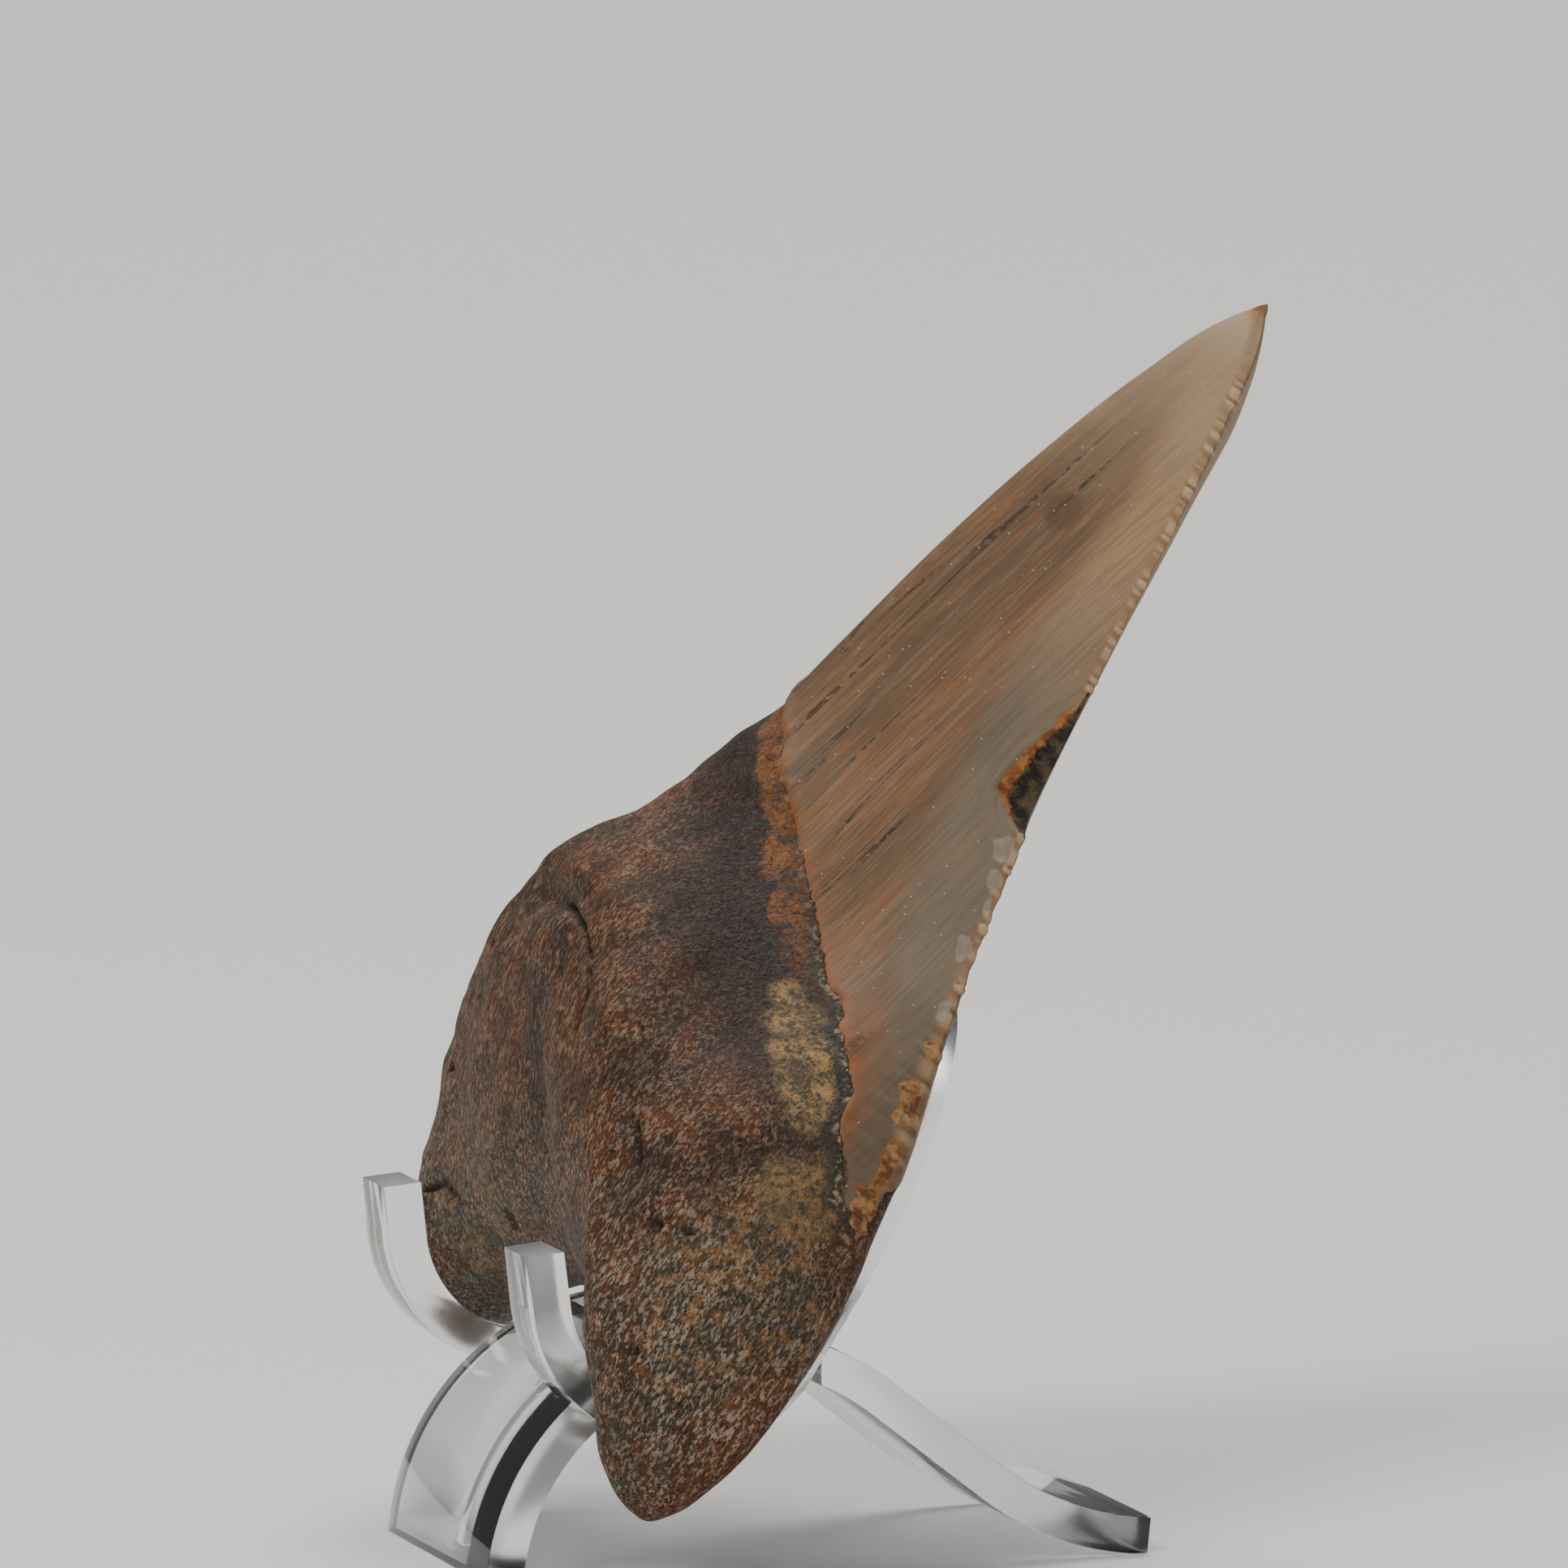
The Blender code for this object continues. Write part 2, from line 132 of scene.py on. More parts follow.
# Tooth: how stretched and ragged flakes and chips are, and how their depth and mask fall off
FLAKE_SHAPE = {"length": 0.80, "ragged": 0.38}
CHIP_SHAPE = {"length": 0.62, "ragged": 0.45}
RAGGED_SIZE = 0.55
DISH_POWER = 1.4
DISH_EDGE = (0.45, 1.15)

# Tooth: ochre patch beside the dark band, as overlapping (across, down, out, radius)
OCHRE_PATCH = ((20.0, 55.6, 9.2, 1.7), (22.0, 57.0, 8.5, 2.3), (24.2, 58.6, 7.7, 2.5),
               (26.4, 60.4, 6.9, 2.3), (28.0, 62.2, 6.2, 1.6))

# Tooth: single patches of colour, as (centre (across, down, out), radius)
FAINT_OCHRE = ((31.5, 66.5, 4.5), 3.6)
FAR_GREEN = ((-10.0, 77.0, 8.0), 9.0)
NEAR_GREEN = ((33.0, 74.0, 5.0), 8.0)
SMUDGE = ((4.8, 19.0, 5.9), 1.5)
TIP_SPOT = ((0.2, 0.4, 0.4), 1.3)

# Tooth: how far a patch's edge wavers, and where its outside and its inside are, in radii
PATCH_WAVER = 1.6
PATCH_EDGE = (1.1, 0.6)

# Tooth: pores as (across, down, radius, depth), and cracks as (points, width, depth)
PORES = ((28.7, 73.3, 0.42, 0.9), (30.5, 72.6, 0.30, 0.5), (31.4, 80.8, 0.34, 0.6), (-3.7, 76.8, 0.42, 0.8),
         (19.1, 62.8, 0.20, 0.3), (-18.0, 70.0, 0.36, 0.6), (-12.0, 62.0, 0.28, 0.4), (6.0, 72.0, 0.34, 0.6))
CRACKS = ((((-1.5, 57.6), (3.0, 58.1), (6.8, 58.8), (10.4, 60.5)), 0.30, 0.45),
          (((23.5, 68.1), (24.6, 69.5), (26.0, 71.0)), 0.28, 0.45),
          (((10.6, 60.8), (12.0, 62.6), (12.8, 65.0)), 0.20, 0.22),
          (((-20.5, 78.0), (-16.0, 76.6), (-12.0, 77.4)), 0.30, 0.40))

# Tooth: how a pore and a crack fade outward, in radii or widths, and how uneven cracks are
# The dark ranges set how far the painted shade in pores and cracks spreads
PORE_EDGE = {"depth": (0.3, 1.5), "dark": (0.7, 1.3)}
CRACK_EDGE = {"depth": (0.2, 1.6), "dark": (0.5, 1.3)}
CRACK_ENDS = (0.02, 0.98)
CRACK_WAVER = {"share": 0.5, "per_mm": 2.0}

# Tooth: surface relief, as (wavelength, height) or, where it is drawn out, (width, length, height)
ROOT_RELIEF = ((7.0, 0.38), (3.0, 0.20), (1.4, 0.12))
ROOT_FIBRES = ((0.8, 3.2, 0.09), (0.45, 1.5, 0.05))
CROWN_RIPPLE = ((1.6, 30.0, 0.035), (5.0, 24.0, 0.10))
GRAIN = {"width": 36.0, "fan": 0.18}
RIM = {"height": 0.12, "width": 0.35, "waver": 0.34, "waver_size": 2.4, "crinkle": 0.20, "crinkle_size": 0.8,
       "least": 0.6, "varied": 0.8, "per_mm": 1.1}

# Tooth: the share of the bulge where relief is full, and the lip side's own step and relief
FULL_RELIEF = 0.5
LIP_STEP = 0.25
LIP_RELIEF = {"share": 0.5, "apart": 9.0, "reach": 2.0, "end": (0.96, 1.0)}

# Tooth: where the noises that vary along fewer than three axes are sliced
SLICES = {"waver": 3.3, "crinkle": 7.7, "lip": 1.1, "fibres": 5.5}

# Tooth: the crown's streaks lie in planes along the crest, whose own place is out = start + fall * down
STREAK_PLANE = {"across": 0.289, "out": 0.793, "start": 2.2, "fall": 0.257}

# Tooth: mesh, with rows crowded toward the tip
ROWS = 500
ROW_CROWDING = 0.10
BACK_COLUMNS = 48
FRONT_PER_BACK = 3
TIP_POINT = (0.0, -0.25, 0.1)
LEAST_WIDTH = 1.0

# Stand
SHEET = 2.5
EDGE_ROUND = 0.5
ARC_STEP = 1.6
BEVEL_SEGMENTS = 4
BEVEL_ANGLE = math.radians(35.0)
SMOOTH_ANGLE = math.radians(30.0)
CUTTER_REACH = 60.0
ARCH_START = (-21.0, -1.0)
ARCH_HEADING = 83.0
ARCH_BENDS = ((1.8, 0.0), (15.5, -83.0), (16.0, -38.0), (9.5, 0.0), (19.0, 32.0), (1.0, 0.0))
ARCH_WIDTH = 23.3
NECK = {"width": 16.6, "front": -7.2, "rear": 0.4}
SEAT = (-10.2, 10.85)
HOOK_BENDS = ((11.5, -25.0), (8.6, -59.0), (3.6, 0.0))
REST_BENDS = ((8.0, 56.0), (27.0, 0.0))
CRADLE_WIDTH = 40.0
SPARE_WIDTH = 4.0
REST_TOP = {"taper_from": -14.0, "radius": 18.6, "height": 21.0, "power": 1.6, "steps": 48}
HOOK_TOP = (18.0, 20.0)
SLOT = {"hook_gap": 28.5, "neck_gap": 17.4, "wide_until": -8.6, "until": -0.3, "corner": 2.5, "steps": 6}

# Studio: lights as (name, azimuth, elevation, distance, size, power), in degrees, metres and watts
LIGHTS = (("key", 40.0, 45.0, 0.80, 0.35, 4.2), ("fill", 110.0, 20.0, 0.90, 0.60, 0.35),
          ("sky", 253.0, 60.0, 2.60, 1.80, 60.0))
WORLD_STRENGTH = 0.34
FLOOR_RADIUS = 6.0
FLOOR_SEGMENTS = 96
FLOOR_ROUGHNESS = 0.6
CLIP_START = 0.05

# Surfaces: how they reflect and how deep their painted relief is, in millimetres
FOSSIL = {"index": 1.50, "sheen": 0.18, "root_rough": (0.46, 0.66), "crown_rough": 0.56, "scar_rough": 0.34,
          "broken_rough": 0.60, "relief": 0.30, "crown_relief": 0.10}
CLEAR = {"index": 1.49, "rough": 0.02, "scuffed": 0.10, "cut_rough": 0.45, "side_share": 0.4,
         "square_on": (0.6, 0.9), "scuffs_per_metre": 900.0}

# Noises, as (scale along each axis, detail, roughness, any distortion); the crown's follow its streaks
CROWN_NOISES = {"broad": ((0.22, 0.05, 1.0), 3.0, 0.55), "streak": ((1.5, 0.04, 1.0), 4.0, 0.65),
                "fine": ((6.0, 0.22, 1.0), 3.0, 0.65), "dash": ((2.2, 1.5, 1.0), 2.0, 0.6),
                "ridge": ((1.9, 0.02, 1.0), 0.0, 0.55), "zone": ((0.7, 0.09, 1.0), 2.0, 0.55)}
ROOT_NOISES = {"fibre": ((3.4, 1.35, 3.4), 4.0, 0.62, 0.5), "fleck": ((6.5, 3.0, 6.5), 3.0, 0.65, 0.4),
               "thread": ((6.0, 2.6, 6.0), 3.0, 0.7)}
THROUGH_STREAKS = 0.1

# Colours, as screen values from 0 to 255
COLOURS = {
    # Crown
    "tan": (122, 91, 61), "dull tan": (100, 77, 55), "warm streak": (124, 76, 40),
    "grey streak": (90, 76, 58), "dark thread": (72, 54, 38), "pale thread": (146, 117, 86),
    "grey": (100, 89, 74), "light grey": (112, 97, 78), "pale crown": (152, 122, 88), "pink": (132, 86, 56),
    "dull pink": (112, 78, 50), "orange seam": (140, 80, 42), "band streak": (82, 68, 52),
    "pale tip": (156, 134, 104), "crown line": (36, 31, 26), "smudge": (84, 60, 42),
    "tip spot": (160, 104, 56), "speck": (206, 190, 164), "notch": (134, 98, 62),
    # Serration tops: a painted highlight
    "serration": (182, 154, 116),
    # Root
    "dark root": (54, 36, 26), "brown root": (78, 47, 29), "red brown": (100, 53, 20),
    "grey brown": (54, 42, 33), "olive": (68, 64, 49), "root ochre": (136, 102, 60), "rust": (96, 52, 26),
    "fleck": (154, 130, 104), "low fleck": (158, 142, 124), "root dark": (20, 13, 9),
    # Neck
    "purple": (40, 24, 17), "deep purple": (22, 14, 10), "neck thread": (94, 66, 46),
    "olive rim": (78, 74, 54), "ochre": (172, 133, 82), "burnt orange": (96, 58, 29),
    "orange": (148, 92, 45), "orange crack": (44, 40, 38), "dark patch": (44, 42, 38),
    "edge line": (48, 50, 44), "pale crumb": (170, 142, 106),
    # Scars with a painted glint, stains, breaks, and the painted shade in pores and cracks
    "scar rim glint": (160, 140, 112), "scar": (138, 131, 120), "stain": (138, 82, 40),
    "pale stain": (166, 122, 76), "mud": (54, 44, 34), "dark break": (28, 24, 18),
    "brown break": (78, 63, 40), "break rim": (112, 60, 28), "pale break rim": (160, 100, 52),
    # Pores and cracks: painted shade in their hollows
    "painted pore shade": (22, 17, 14),
    # Stand and studio
    "clear": (253, 254, 254), "floor": (226, 224, 220), "sky": (214, 215, 218),
}


def through(knots, values, at):
    """A smooth curve through the values at their knots, read at the given places."""
    knots = np.array(knots, float)
    values = np.array(values, float)
    slopes = np.gradient(values, knots, axis=0)
    at = np.asarray(at, float)
    i = np.clip(np.searchsorted(knots, at, side="right") - 1, 0, len(knots) - 2)
    width = knots[i + 1] - knots[i]
    t = np.clip((at - knots[i]) / width, 0.0, 1.0)
    if values.ndim > 1:
        width, t = width[..., None], t[..., None]
    start = (2 * t**3 - 3 * t**2 + 1) * values[i] + (t**3 - 2 * t**2 + t) * width * slopes[i]
    end = (3 * t**2 - 2 * t**3) * values[i + 1] + (t**3 - t**2) * width * slopes[i + 1]
    return start + end


def across_at(edge, down):
    """How far across an edge lies at this distance down."""
    return through([p[1] for p in edge], [p[0] for p in edge], down)


def along(points, share):
    """A smooth curve through the points, read at shares of its length."""
    points = np.array(points, float)
    steps = np.linalg.norm(np.diff(points, axis=0), axis=1)
    knots = np.concatenate([[0.0], np.cumsum(steps)])
    return through(knots / knots[-1], points, share)


def curve(points, at):
    """A smooth curve through points of (place, value), read at the given places."""
    places, values = zip(*points)
    return through(places, values, at)


def spread(*measures):
    """Measures of every point, or single numbers, set side by side as places."""
    return np.stack(np.broadcast_arrays(*measures), -1)


def ramp(value, low, high):
    """0 below low, 1 above high, and smooth between."""
    t = np.clip((value - low) / (high - low), 0.0, 1.0)
    return t * t * (3 - 2 * t)


def hashed(cell, seed):
    """A repeatable number from 0 to 1 for each whole-number cell."""
    mixed = cell[..., 0] * 127.1 + cell[..., 1] * 311.7 + cell[..., 2] * 74.7 + seed * 19.19
    wave = np.sin(mixed) * 43758.5453
    return wave - np.floor(wave)


def noise(place, seed):
    """Smooth value noise from -1 to 1 at places of three numbers each."""
    cell = np.floor(place)
    t = place - cell
    t = t * t * (3 - 2 * t)
    total = 0.0
    for corner in np.ndindex(2, 2, 2):
        corner = np.array(corner)
        weight = np.prod(np.where(corner == 1, t, 1 - t), axis=-1)
        total = total + weight * hashed(cell + corner, seed)
    return 2 * total - 1


def tooth_outline(u, v):
    """Places (across, down) by column u, -1 at the far edge to 1 at the near, and row v, from tip to base."""
    share = ((u + 1) / 2)[..., None]
    near_at = v * NEAR_EDGE[-1][1]
    far_at = v * FAR_EDGE[-1][1]
    near = spread(across_at(NEAR_EDGE, near_at), near_at)
    far = spread(across_at(FAR_EDGE, far_at), far_at)
    between = far * (1 - share) + near * share
    corners = np.array(ROOT_BASE[0]) * (1 - share) + np.array(ROOT_BASE[-1]) * share
    return between + (along(ROOT_BASE, (u + 1) / 2) - corners) * (v**ROW_BEND)[..., None]


def enamel_line(across):
    """Distance down of the enamel's lower edge on the tongue side."""
    return curve(ENAMEL_EDGE, np.abs(across - MIDDLE_LINE))


def wavering_line(across, down):
    """How far a place lies below the tongue side's enamel edge with its small scallops."""
    waver = RIM["waver"] * noise(spread(across / RIM["waver_size"], SLICES["waver"], 0.0), seed=3)
    crinkle = RIM["crinkle"] * noise(spread(across / RIM["crinkle_size"], SLICES["crinkle"], 0.0), seed=4)
    return down - enamel_line(across) + waver + crinkle


def tooth_heights(u, v, across, down):
    """How far the tongue side and the lip side stand from the plane of the edges."""
    aside = np.clip(np.abs(u - CREST_SHIFT * (1 - u * u)), 0.0, 1.0)
    root = ramp(v, *SECTION_CHANGE)
    width_power = CROWN_SECTION[0] * (1 - root) + ROOT_SECTION[0] * root
    fall_power = CROWN_SECTION[1] * (1 - root) + ROOT_SECTION[1] * root
    section = (1 - aside**width_power) ** fall_power
    late = np.clip((v - ROOT_ROUND_FROM) / (1 - ROOT_ROUND_FROM), 0.0, 1.0)
    rounding = np.sqrt(np.clip(1 - late**ROOT_ROUND_POWER, 0.0, 1.0))
    seam = BASE_OUT * (1 - u * u)
    tongue = curve(CREST, down) * section * rounding
    tongue = tongue + seam * (1 - rounding)

    inside = section**0.5 * rounding**0.5
    valley = np.exp(-((u / VALLEY["width"]) ** 2)) * ramp(v, VALLEY["from_row"], 1.0)
    tongue = tongue - VALLEY["depth"] * valley * inside
    (groove_across, groove_down), (groove_width, groove_length) = GROOVE["at"], GROOVE["size"]
    sideways = ((across - groove_across) / groove_width) ** 2
    lengthways = ((down - groove_down) / groove_length) ** 2
    tongue = tongue - GROOVE["depth"] * np.exp(-sideways - lengthways)
    for lump_across, lump_down, size, height in LUMPS:
        away = ((across - lump_across) ** 2 + (down - lump_down) ** 2) / size**2
        tongue = tongue + height * np.exp(-away) * inside

    back_width_power, back_fall_power = ROOT_BACK_SECTION
    root_bulge = ROOT_BACK * (1 - np.abs(u) ** back_width_power) ** back_fall_power
    lip_bulge = CROWN_BACK * (1 - root) * (1 - u * u) + root * root_bulge
    last = np.clip((v - BACK_ROUND_FROM) / (1 - BACK_ROUND_FROM), 0.0, 1.0)
    back_rounding = np.sqrt(1 - last**BACK_ROUND_POWER)
    lip = lip_bulge * back_rounding * ramp(v, *LIP_START) - seam * (1 - back_rounding)
    return np.maximum(tongue, 0.0), lip, inside


def dish(across_edge, down, flakes, shape):
    """Depth, and a 0 to 1 mask, of shallow flakes whose places are (down, distance from the edge)."""
    depth = mask = 0.0
    ragged = noise(spread(across_edge, down, 0.0) / RAGGED_SIZE, seed=17)
    for at_down, at_edge, radius, deepest in flakes:
        away = np.hypot(across_edge - at_edge, (down - at_down) * shape["length"]) / radius
        away = away * (1 + shape["ragged"] * ragged)
        depth = np.maximum(depth, deepest * np.clip(1 - away**2, 0.0, 1.0) ** DISH_POWER)
        mask = np.maximum(mask, 1 - ramp(away, *DISH_EDGE))
    return depth, mask


def distance_to_line(across, down, points):
    """Distance from each place to a broken line, and how far along it, from 0 to 1."""
    nearest = np.full(across.shape, 1e3)
    share = np.zeros(across.shape)
    place = spread(across, down)
    for i, (start, end) in enumerate(zip(points, points[1:])):
        start, step = np.array(start), np.array(end) - np.array(start)
        t = np.clip(((place - start) @ step) / (step @ step), 0.0, 1.0)
        away = np.linalg.norm(place - start - t[..., None] * step, axis=-1)
        closer = away < nearest
        nearest = np.where(closer, away, nearest)
        share = np.where(closer, (i + t) / (len(points) - 1), share)
    return nearest, share


def pits(across, down):
    """Depth of the root's pores and cracks on the tongue side, and the mask of the painted shade that darkens
    them.
    """
    depth = np.zeros(across.shape)
    mask = np.zeros(across.shape)
    for at_across, at_down, radius, deepest in PORES:
        away = np.hypot(across - at_across, down - at_down) / radius
        depth = np.maximum(depth, deepest * (1 - ramp(away, *PORE_EDGE["depth"])))
        mask = np.maximum(mask, 1 - ramp(away, *PORE_EDGE["dark"]))
    uneven = CRACK_WAVER["share"] * np.abs(noise(spread(across, down, 0.0) * CRACK_WAVER["per_mm"], seed=8))
    for points, width, deepest in CRACKS:
        away, share = distance_to_line(across, down, points)
        thin = np.sqrt(np.clip(np.sin(np.pi * np.clip(share, *CRACK_ENDS)), 0.0, 1.0))
        away = away / (width * thin) + uneven
        depth = np.maximum(depth, deepest * (1 - ramp(away, *CRACK_EDGE["depth"])))
        mask = np.maximum(mask, 1 - ramp(away, *CRACK_EDGE["dark"]))
    return depth, mask


def serrations(down):
    """Rounded teeth along a cutting edge, 0 in the notches and 1 on top."""
    start, end = SERRATION["pitch_tip"], SERRATION["pitch_base"]
    share = np.clip(down / SERRATION["fade"][1], 0.0, 1.0)
    count = down / (start + (end - start) * share * SERRATION["growth"])
    uneven = count
    for size, rate in SERRATION_SHIFTS:
        uneven = uneven + size * np.sin(count * rate)
    top = np.sqrt(np.abs(np.sin(np.pi * uneven)))
    least, varied, slow, fast = SERRATION_WEAR
    wear = least + varied * np.sin(uneven * slow) * np.sin(uneven * fast)
    return top * wear * ramp(down, *SERRATION["rise"]) * (1 - ramp(down, *SERRATION["fade"]))


def relief(place, table):
    """Sum of noises of given wavelengths and heights."""
    total = 0.0
    for number, (wavelength, height) in enumerate(table):
        total = total + height * noise(place / wavelength, 20 + number)
    return total


def stretched(grain, down, table, seed):
    """Sum of noises drawn out along the tooth, as (width, length, height)."""
    total = 0.0
    for number, (width, length, height) in enumerate(table):
        place = spread(grain / width, down / length, SLICES["fibres"])
        total = total + height * noise(place, seed + number)
    return total


def break_near_edge(u, v, across, down, near, width, in_chip, tongue, lip):
    """The surface without the broken piece, a mask of the break and how far in on its slope each place is."""
    cut = curve(CHIP_CUT, down) * in_chip
    jagged = CHIP_JAGGED["width"] * noise(spread(down * CHIP_JAGGED["per_mm"], 0.0, 0.0), seed=12)
    slope = np.maximum(curve(CHIP_SLOPE, down) + jagged, cut + CHIP_JAGGED["least"])
    moved = cut * ramp(across - near, -CHIP_REACH, 0.0)
    across = across - moved
    chip_tongue, chip_lip, _ = tooth_heights(u - 2 * moved / width, v, across, down)
    tongue = np.where(in_chip > 0, chip_tongue, tongue)
    lip = np.where(in_chip > 0, chip_lip, lip)
    inward = np.clip((near - across - cut) / (slope - cut), 0.0, 1.0)
    broken = in_chip * (1 - ramp(inward, *CHIP_RIM))
    place = spread(across, down, 0.0) * CHIP_ROUGH["per_mm"]
    rough = noise(place, seed=13) + CHIP_ROUGH["fine_share"] * noise(place * CHIP_ROUGH["fine"], seed=14)
    rough = CHIP_ROUGH["height"] * rough
    fracture = tongue * inward - lip * (1 - inward) + rough * broken * np.sin(np.pi * inward)
    return across, np.where(in_chip > 0, fracture, tongue), lip, broken, inward


def tooth_surface(u, v):
    """The tongue side and the lip side in the tooth's frame, with what the material needs at every point."""
    place = tooth_outline(u, v)
    across, down = place[..., 0], place[..., 1]
    tongue, lip, inside = tooth_heights(u, v, across, down)
    near, far = across_at(NEAR_EDGE, down), across_at(FAR_EDGE, down)
    from_near, from_far = near - across, across - far
    from_edge = np.minimum(from_near, from_far)
    width = np.maximum(near - far, LEAST_WIDTH)
    fan = u * width / 2 * (GRAIN["width"] / width) ** GRAIN["fan"]
    crest = STREAK_PLANE["start"] + STREAK_PLANE["fall"] * down
    grain = STREAK_PLANE["across"] * np.abs(across) + STREAK_PLANE["out"] * (crest - tongue)
    near_face, far_face = np.hypot(from_near, tongue), np.hypot(from_far, tongue)

    below = wavering_line(across, down)
    lip_waver = noise(spread(across / LIP_WAVER["size"], SLICES["lip"], 0.0), seed=6)
    lip_line = LIP_ENAMEL[0] + LIP_ENAMEL[1] * u * u
    lip_below = down - lip_line + LIP_WAVER["height"] * lip_waver

    in_chip = (from_near < from_far) * (down > CHIP_DOWN[0]) * (down < CHIP_DOWN[1])
    across, tongue, lip, broken, inward = break_near_edge(
        u, v, across, down, near, width, in_chip, tongue, lip)
    lowest = np.where(in_chip > 0, -lip, 0.0)

    teeth = serrations(down)
    near_share, far_share = (1 - ramp(away, 0.0, SERRATION["reach"]) for away in (from_near, from_far))
    outward = SERRATION["height"] * (teeth - 0.5)
    across = across + outward * near_share * (1 - in_chip) - outward * far_share
    edge_share = (1 - ramp(from_edge, *RIB_ZONE["fade"])) * (1 - in_chip)
    ribs = SERRATION["rib"] * teeth * (ramp(from_edge, 0.0, RIB_ZONE["rise"]) * edge_share)

    flake_depth, flake = dish(near_face, down, FLAKES, FLAKE_SHAPE)
    matrix_depth, matrix = dish(near_face, down, MATRIX_CHIPS, CHIP_SHAPE)
    pit_depth, pit_shade = pits(across, down)

    crown = 1 - ramp(below, -ENAMEL_BLEND, ENAMEL_BLEND)
    rim = RIM["height"] * np.exp(-((below + RIM["width"]) / RIM["width"]) ** 2)
    rim_noise = np.abs(noise(spread(across, down, 0.0) * RIM["per_mm"], seed=15))
    rim = rim * (RIM["least"] + RIM["varied"] * rim_noise)
    full = np.clip(inside / FULL_RELIEF, 0.0, 1.0) * (1 - broken)
    root_relief = relief(spread(across, down, tongue), ROOT_RELIEF) + stretched(across, down, ROOT_FIBRES, 30)
    ripple = stretched(grain, down, CROWN_RIPPLE, 40)
    tongue = tongue + full * (ENAMEL_STEP * crown + rim + ripple * crown + root_relief * (1 - crown))
    tongue = tongue + ribs - (flake_depth + matrix_depth) * np.clip(tongue, 0.0, 1.0)
    tongue = np.maximum(tongue - pit_depth * (1 - crown), lowest)

    lip_crown = 1 - ramp(lip_below, -ENAMEL_BLEND, ENAMEL_BLEND)
    lip_relief = relief(spread(across, down, -lip - LIP_RELIEF["apart"]), ROOT_RELIEF)
    lip_relief = lip_relief + stretched(across, down, ROOT_FIBRES, 50)
    lip_relief = LIP_RELIEF["share"] * lip_relief * (1 - lip_crown)
    lip_full = np.clip(from_edge / LIP_RELIEF["reach"], 0.0, 1.0) * (1 - ramp(v, *LIP_RELIEF["end"]))
    lip = lip + lip_full * (LIP_STEP * lip_crown + lip_relief + ripple * lip_crown)
    lip = lip + ribs * (lip > 0)

    bow = EDGE_BOW["out"] * np.sin(np.pi * np.clip(down / EDGE_BOW["length"], 0.0, 1.0))
    bow = bow * (1 - ramp(v, *EDGE_BOW["fade"]))
    front = {"place": spread(across, down, bow + tongue), "grain": grain, "below": below,
             "from_edge": np.minimum(near_face, far_face), "broken": broken, "inward": inward, "flake": flake,
             "matrix": matrix, "pit_shade": pit_shade * (1 - crown), "serration": teeth * edge_share}
    back = {name: np.zeros(across.shape) for name in front}
    back.update(place=spread(across, down, bow - lip), grain=fan, below=lip_below, from_edge=from_edge,
                serration=teeth * edge_share)
    return front, back


def tooth_to_world(points):
    """The model's place of points given as (across, down, out) in the tooth's frame."""
    across_axis = np.array([1.0, 0.0, 0.0])
    down_axis = np.array([0.0, -math.sin(LEAN), -math.cos(LEAN)])
    out_axis = np.array([0.0, -math.cos(LEAN), math.sin(LEAN)])
    return np.array(TIP - BOX_CENTRE) + points @ np.stack([across_axis, down_axis, out_axis])


def new_object(name, data):
    made = bpy.data.objects.new(name, data)
    bpy.context.scene.collection.objects.link(made)
    return made


def add_measure(data, name, values):
    """Keeps a number, or three, on each point of the mesh for its material to read."""
    kind = "FLOAT_VECTOR" if values.ndim > 1 else "FLOAT"
    attribute = data.attributes.new(name, kind, "POINT")
    attribute.data.foreach_set("vector" if values.ndim > 1 else "value", values.astype(np.float32).ravel())


def tooth_faces(front_count, around):
    """Faces of the loft: a fan at the tip, bands, and the lip side sewn to the last row of the front."""
    last = 1 + (ROWS - 1) * around
    faces = [(0, 1 + column, 1 + (column + 1) % around) for column in range(around)]
    for row in range(ROWS - 1):
        here, under = 1 + row * around, 1 + (row + 1) * around
        for column in range(around if row < ROWS - 2 else front_count):
            beside = (column + 1) % around
            faces.append((here + column, under + column, under + beside, here + beside))
    here = last - around
    for step in range(BACK_COLUMNS):
        column = front_count + step
        seam = [last + front_count - FRONT_PER_BACK * step - part for part in range(FRONT_PER_BACK + 1)]
        faces.append((here + column, *seam, here + (column + 1) % around))
    return faces


def tooth():
    """A closed loft around the tooth, with one point at the tip, and its measures kept on the points."""
    steps = np.linspace(0.0, 1.0, ROWS + 1)[1:]
    rows = steps - ROW_CROWDING * np.sin(2 * np.pi * steps) * steps
    front_count = BACK_COLUMNS * FRONT_PER_BACK
    front_columns = np.sin(np.linspace(-math.pi / 2, math.pi / 2, front_count + 1))
    back_columns = np.sin(np.linspace(math.pi / 2, -math.pi / 2, BACK_COLUMNS + 1))[1:-1]
    front, _ = tooth_surface(*np.meshgrid(front_columns, rows))
    _, back = tooth_surface(*np.meshgrid(back_columns, rows))
    around = front_count + BACK_COLUMNS
    kept = 1 + (ROWS - 1) * around + front_count + 1

    def ring(key):
        return np.concatenate([front[key], back[key]], axis=1)

    points = np.concatenate([[TIP_POINT], ring("place").reshape(-1, 3)])[:kept]
    data = bpy.data.meshes.new("tooth_surface")
    data.from_pydata((tooth_to_world(points) * MM).tolist(), [], tooth_faces(front_count, around))
    data.validate()
    data.shade_smooth()
    add_measure(data, "place", points)
    for key in [key for key in front if key != "place"]:
        values = ring(key).reshape(-1)
        add_measure(data, key, np.concatenate([values[:1], values])[:kept])
    return new_object("tooth_surface", data)


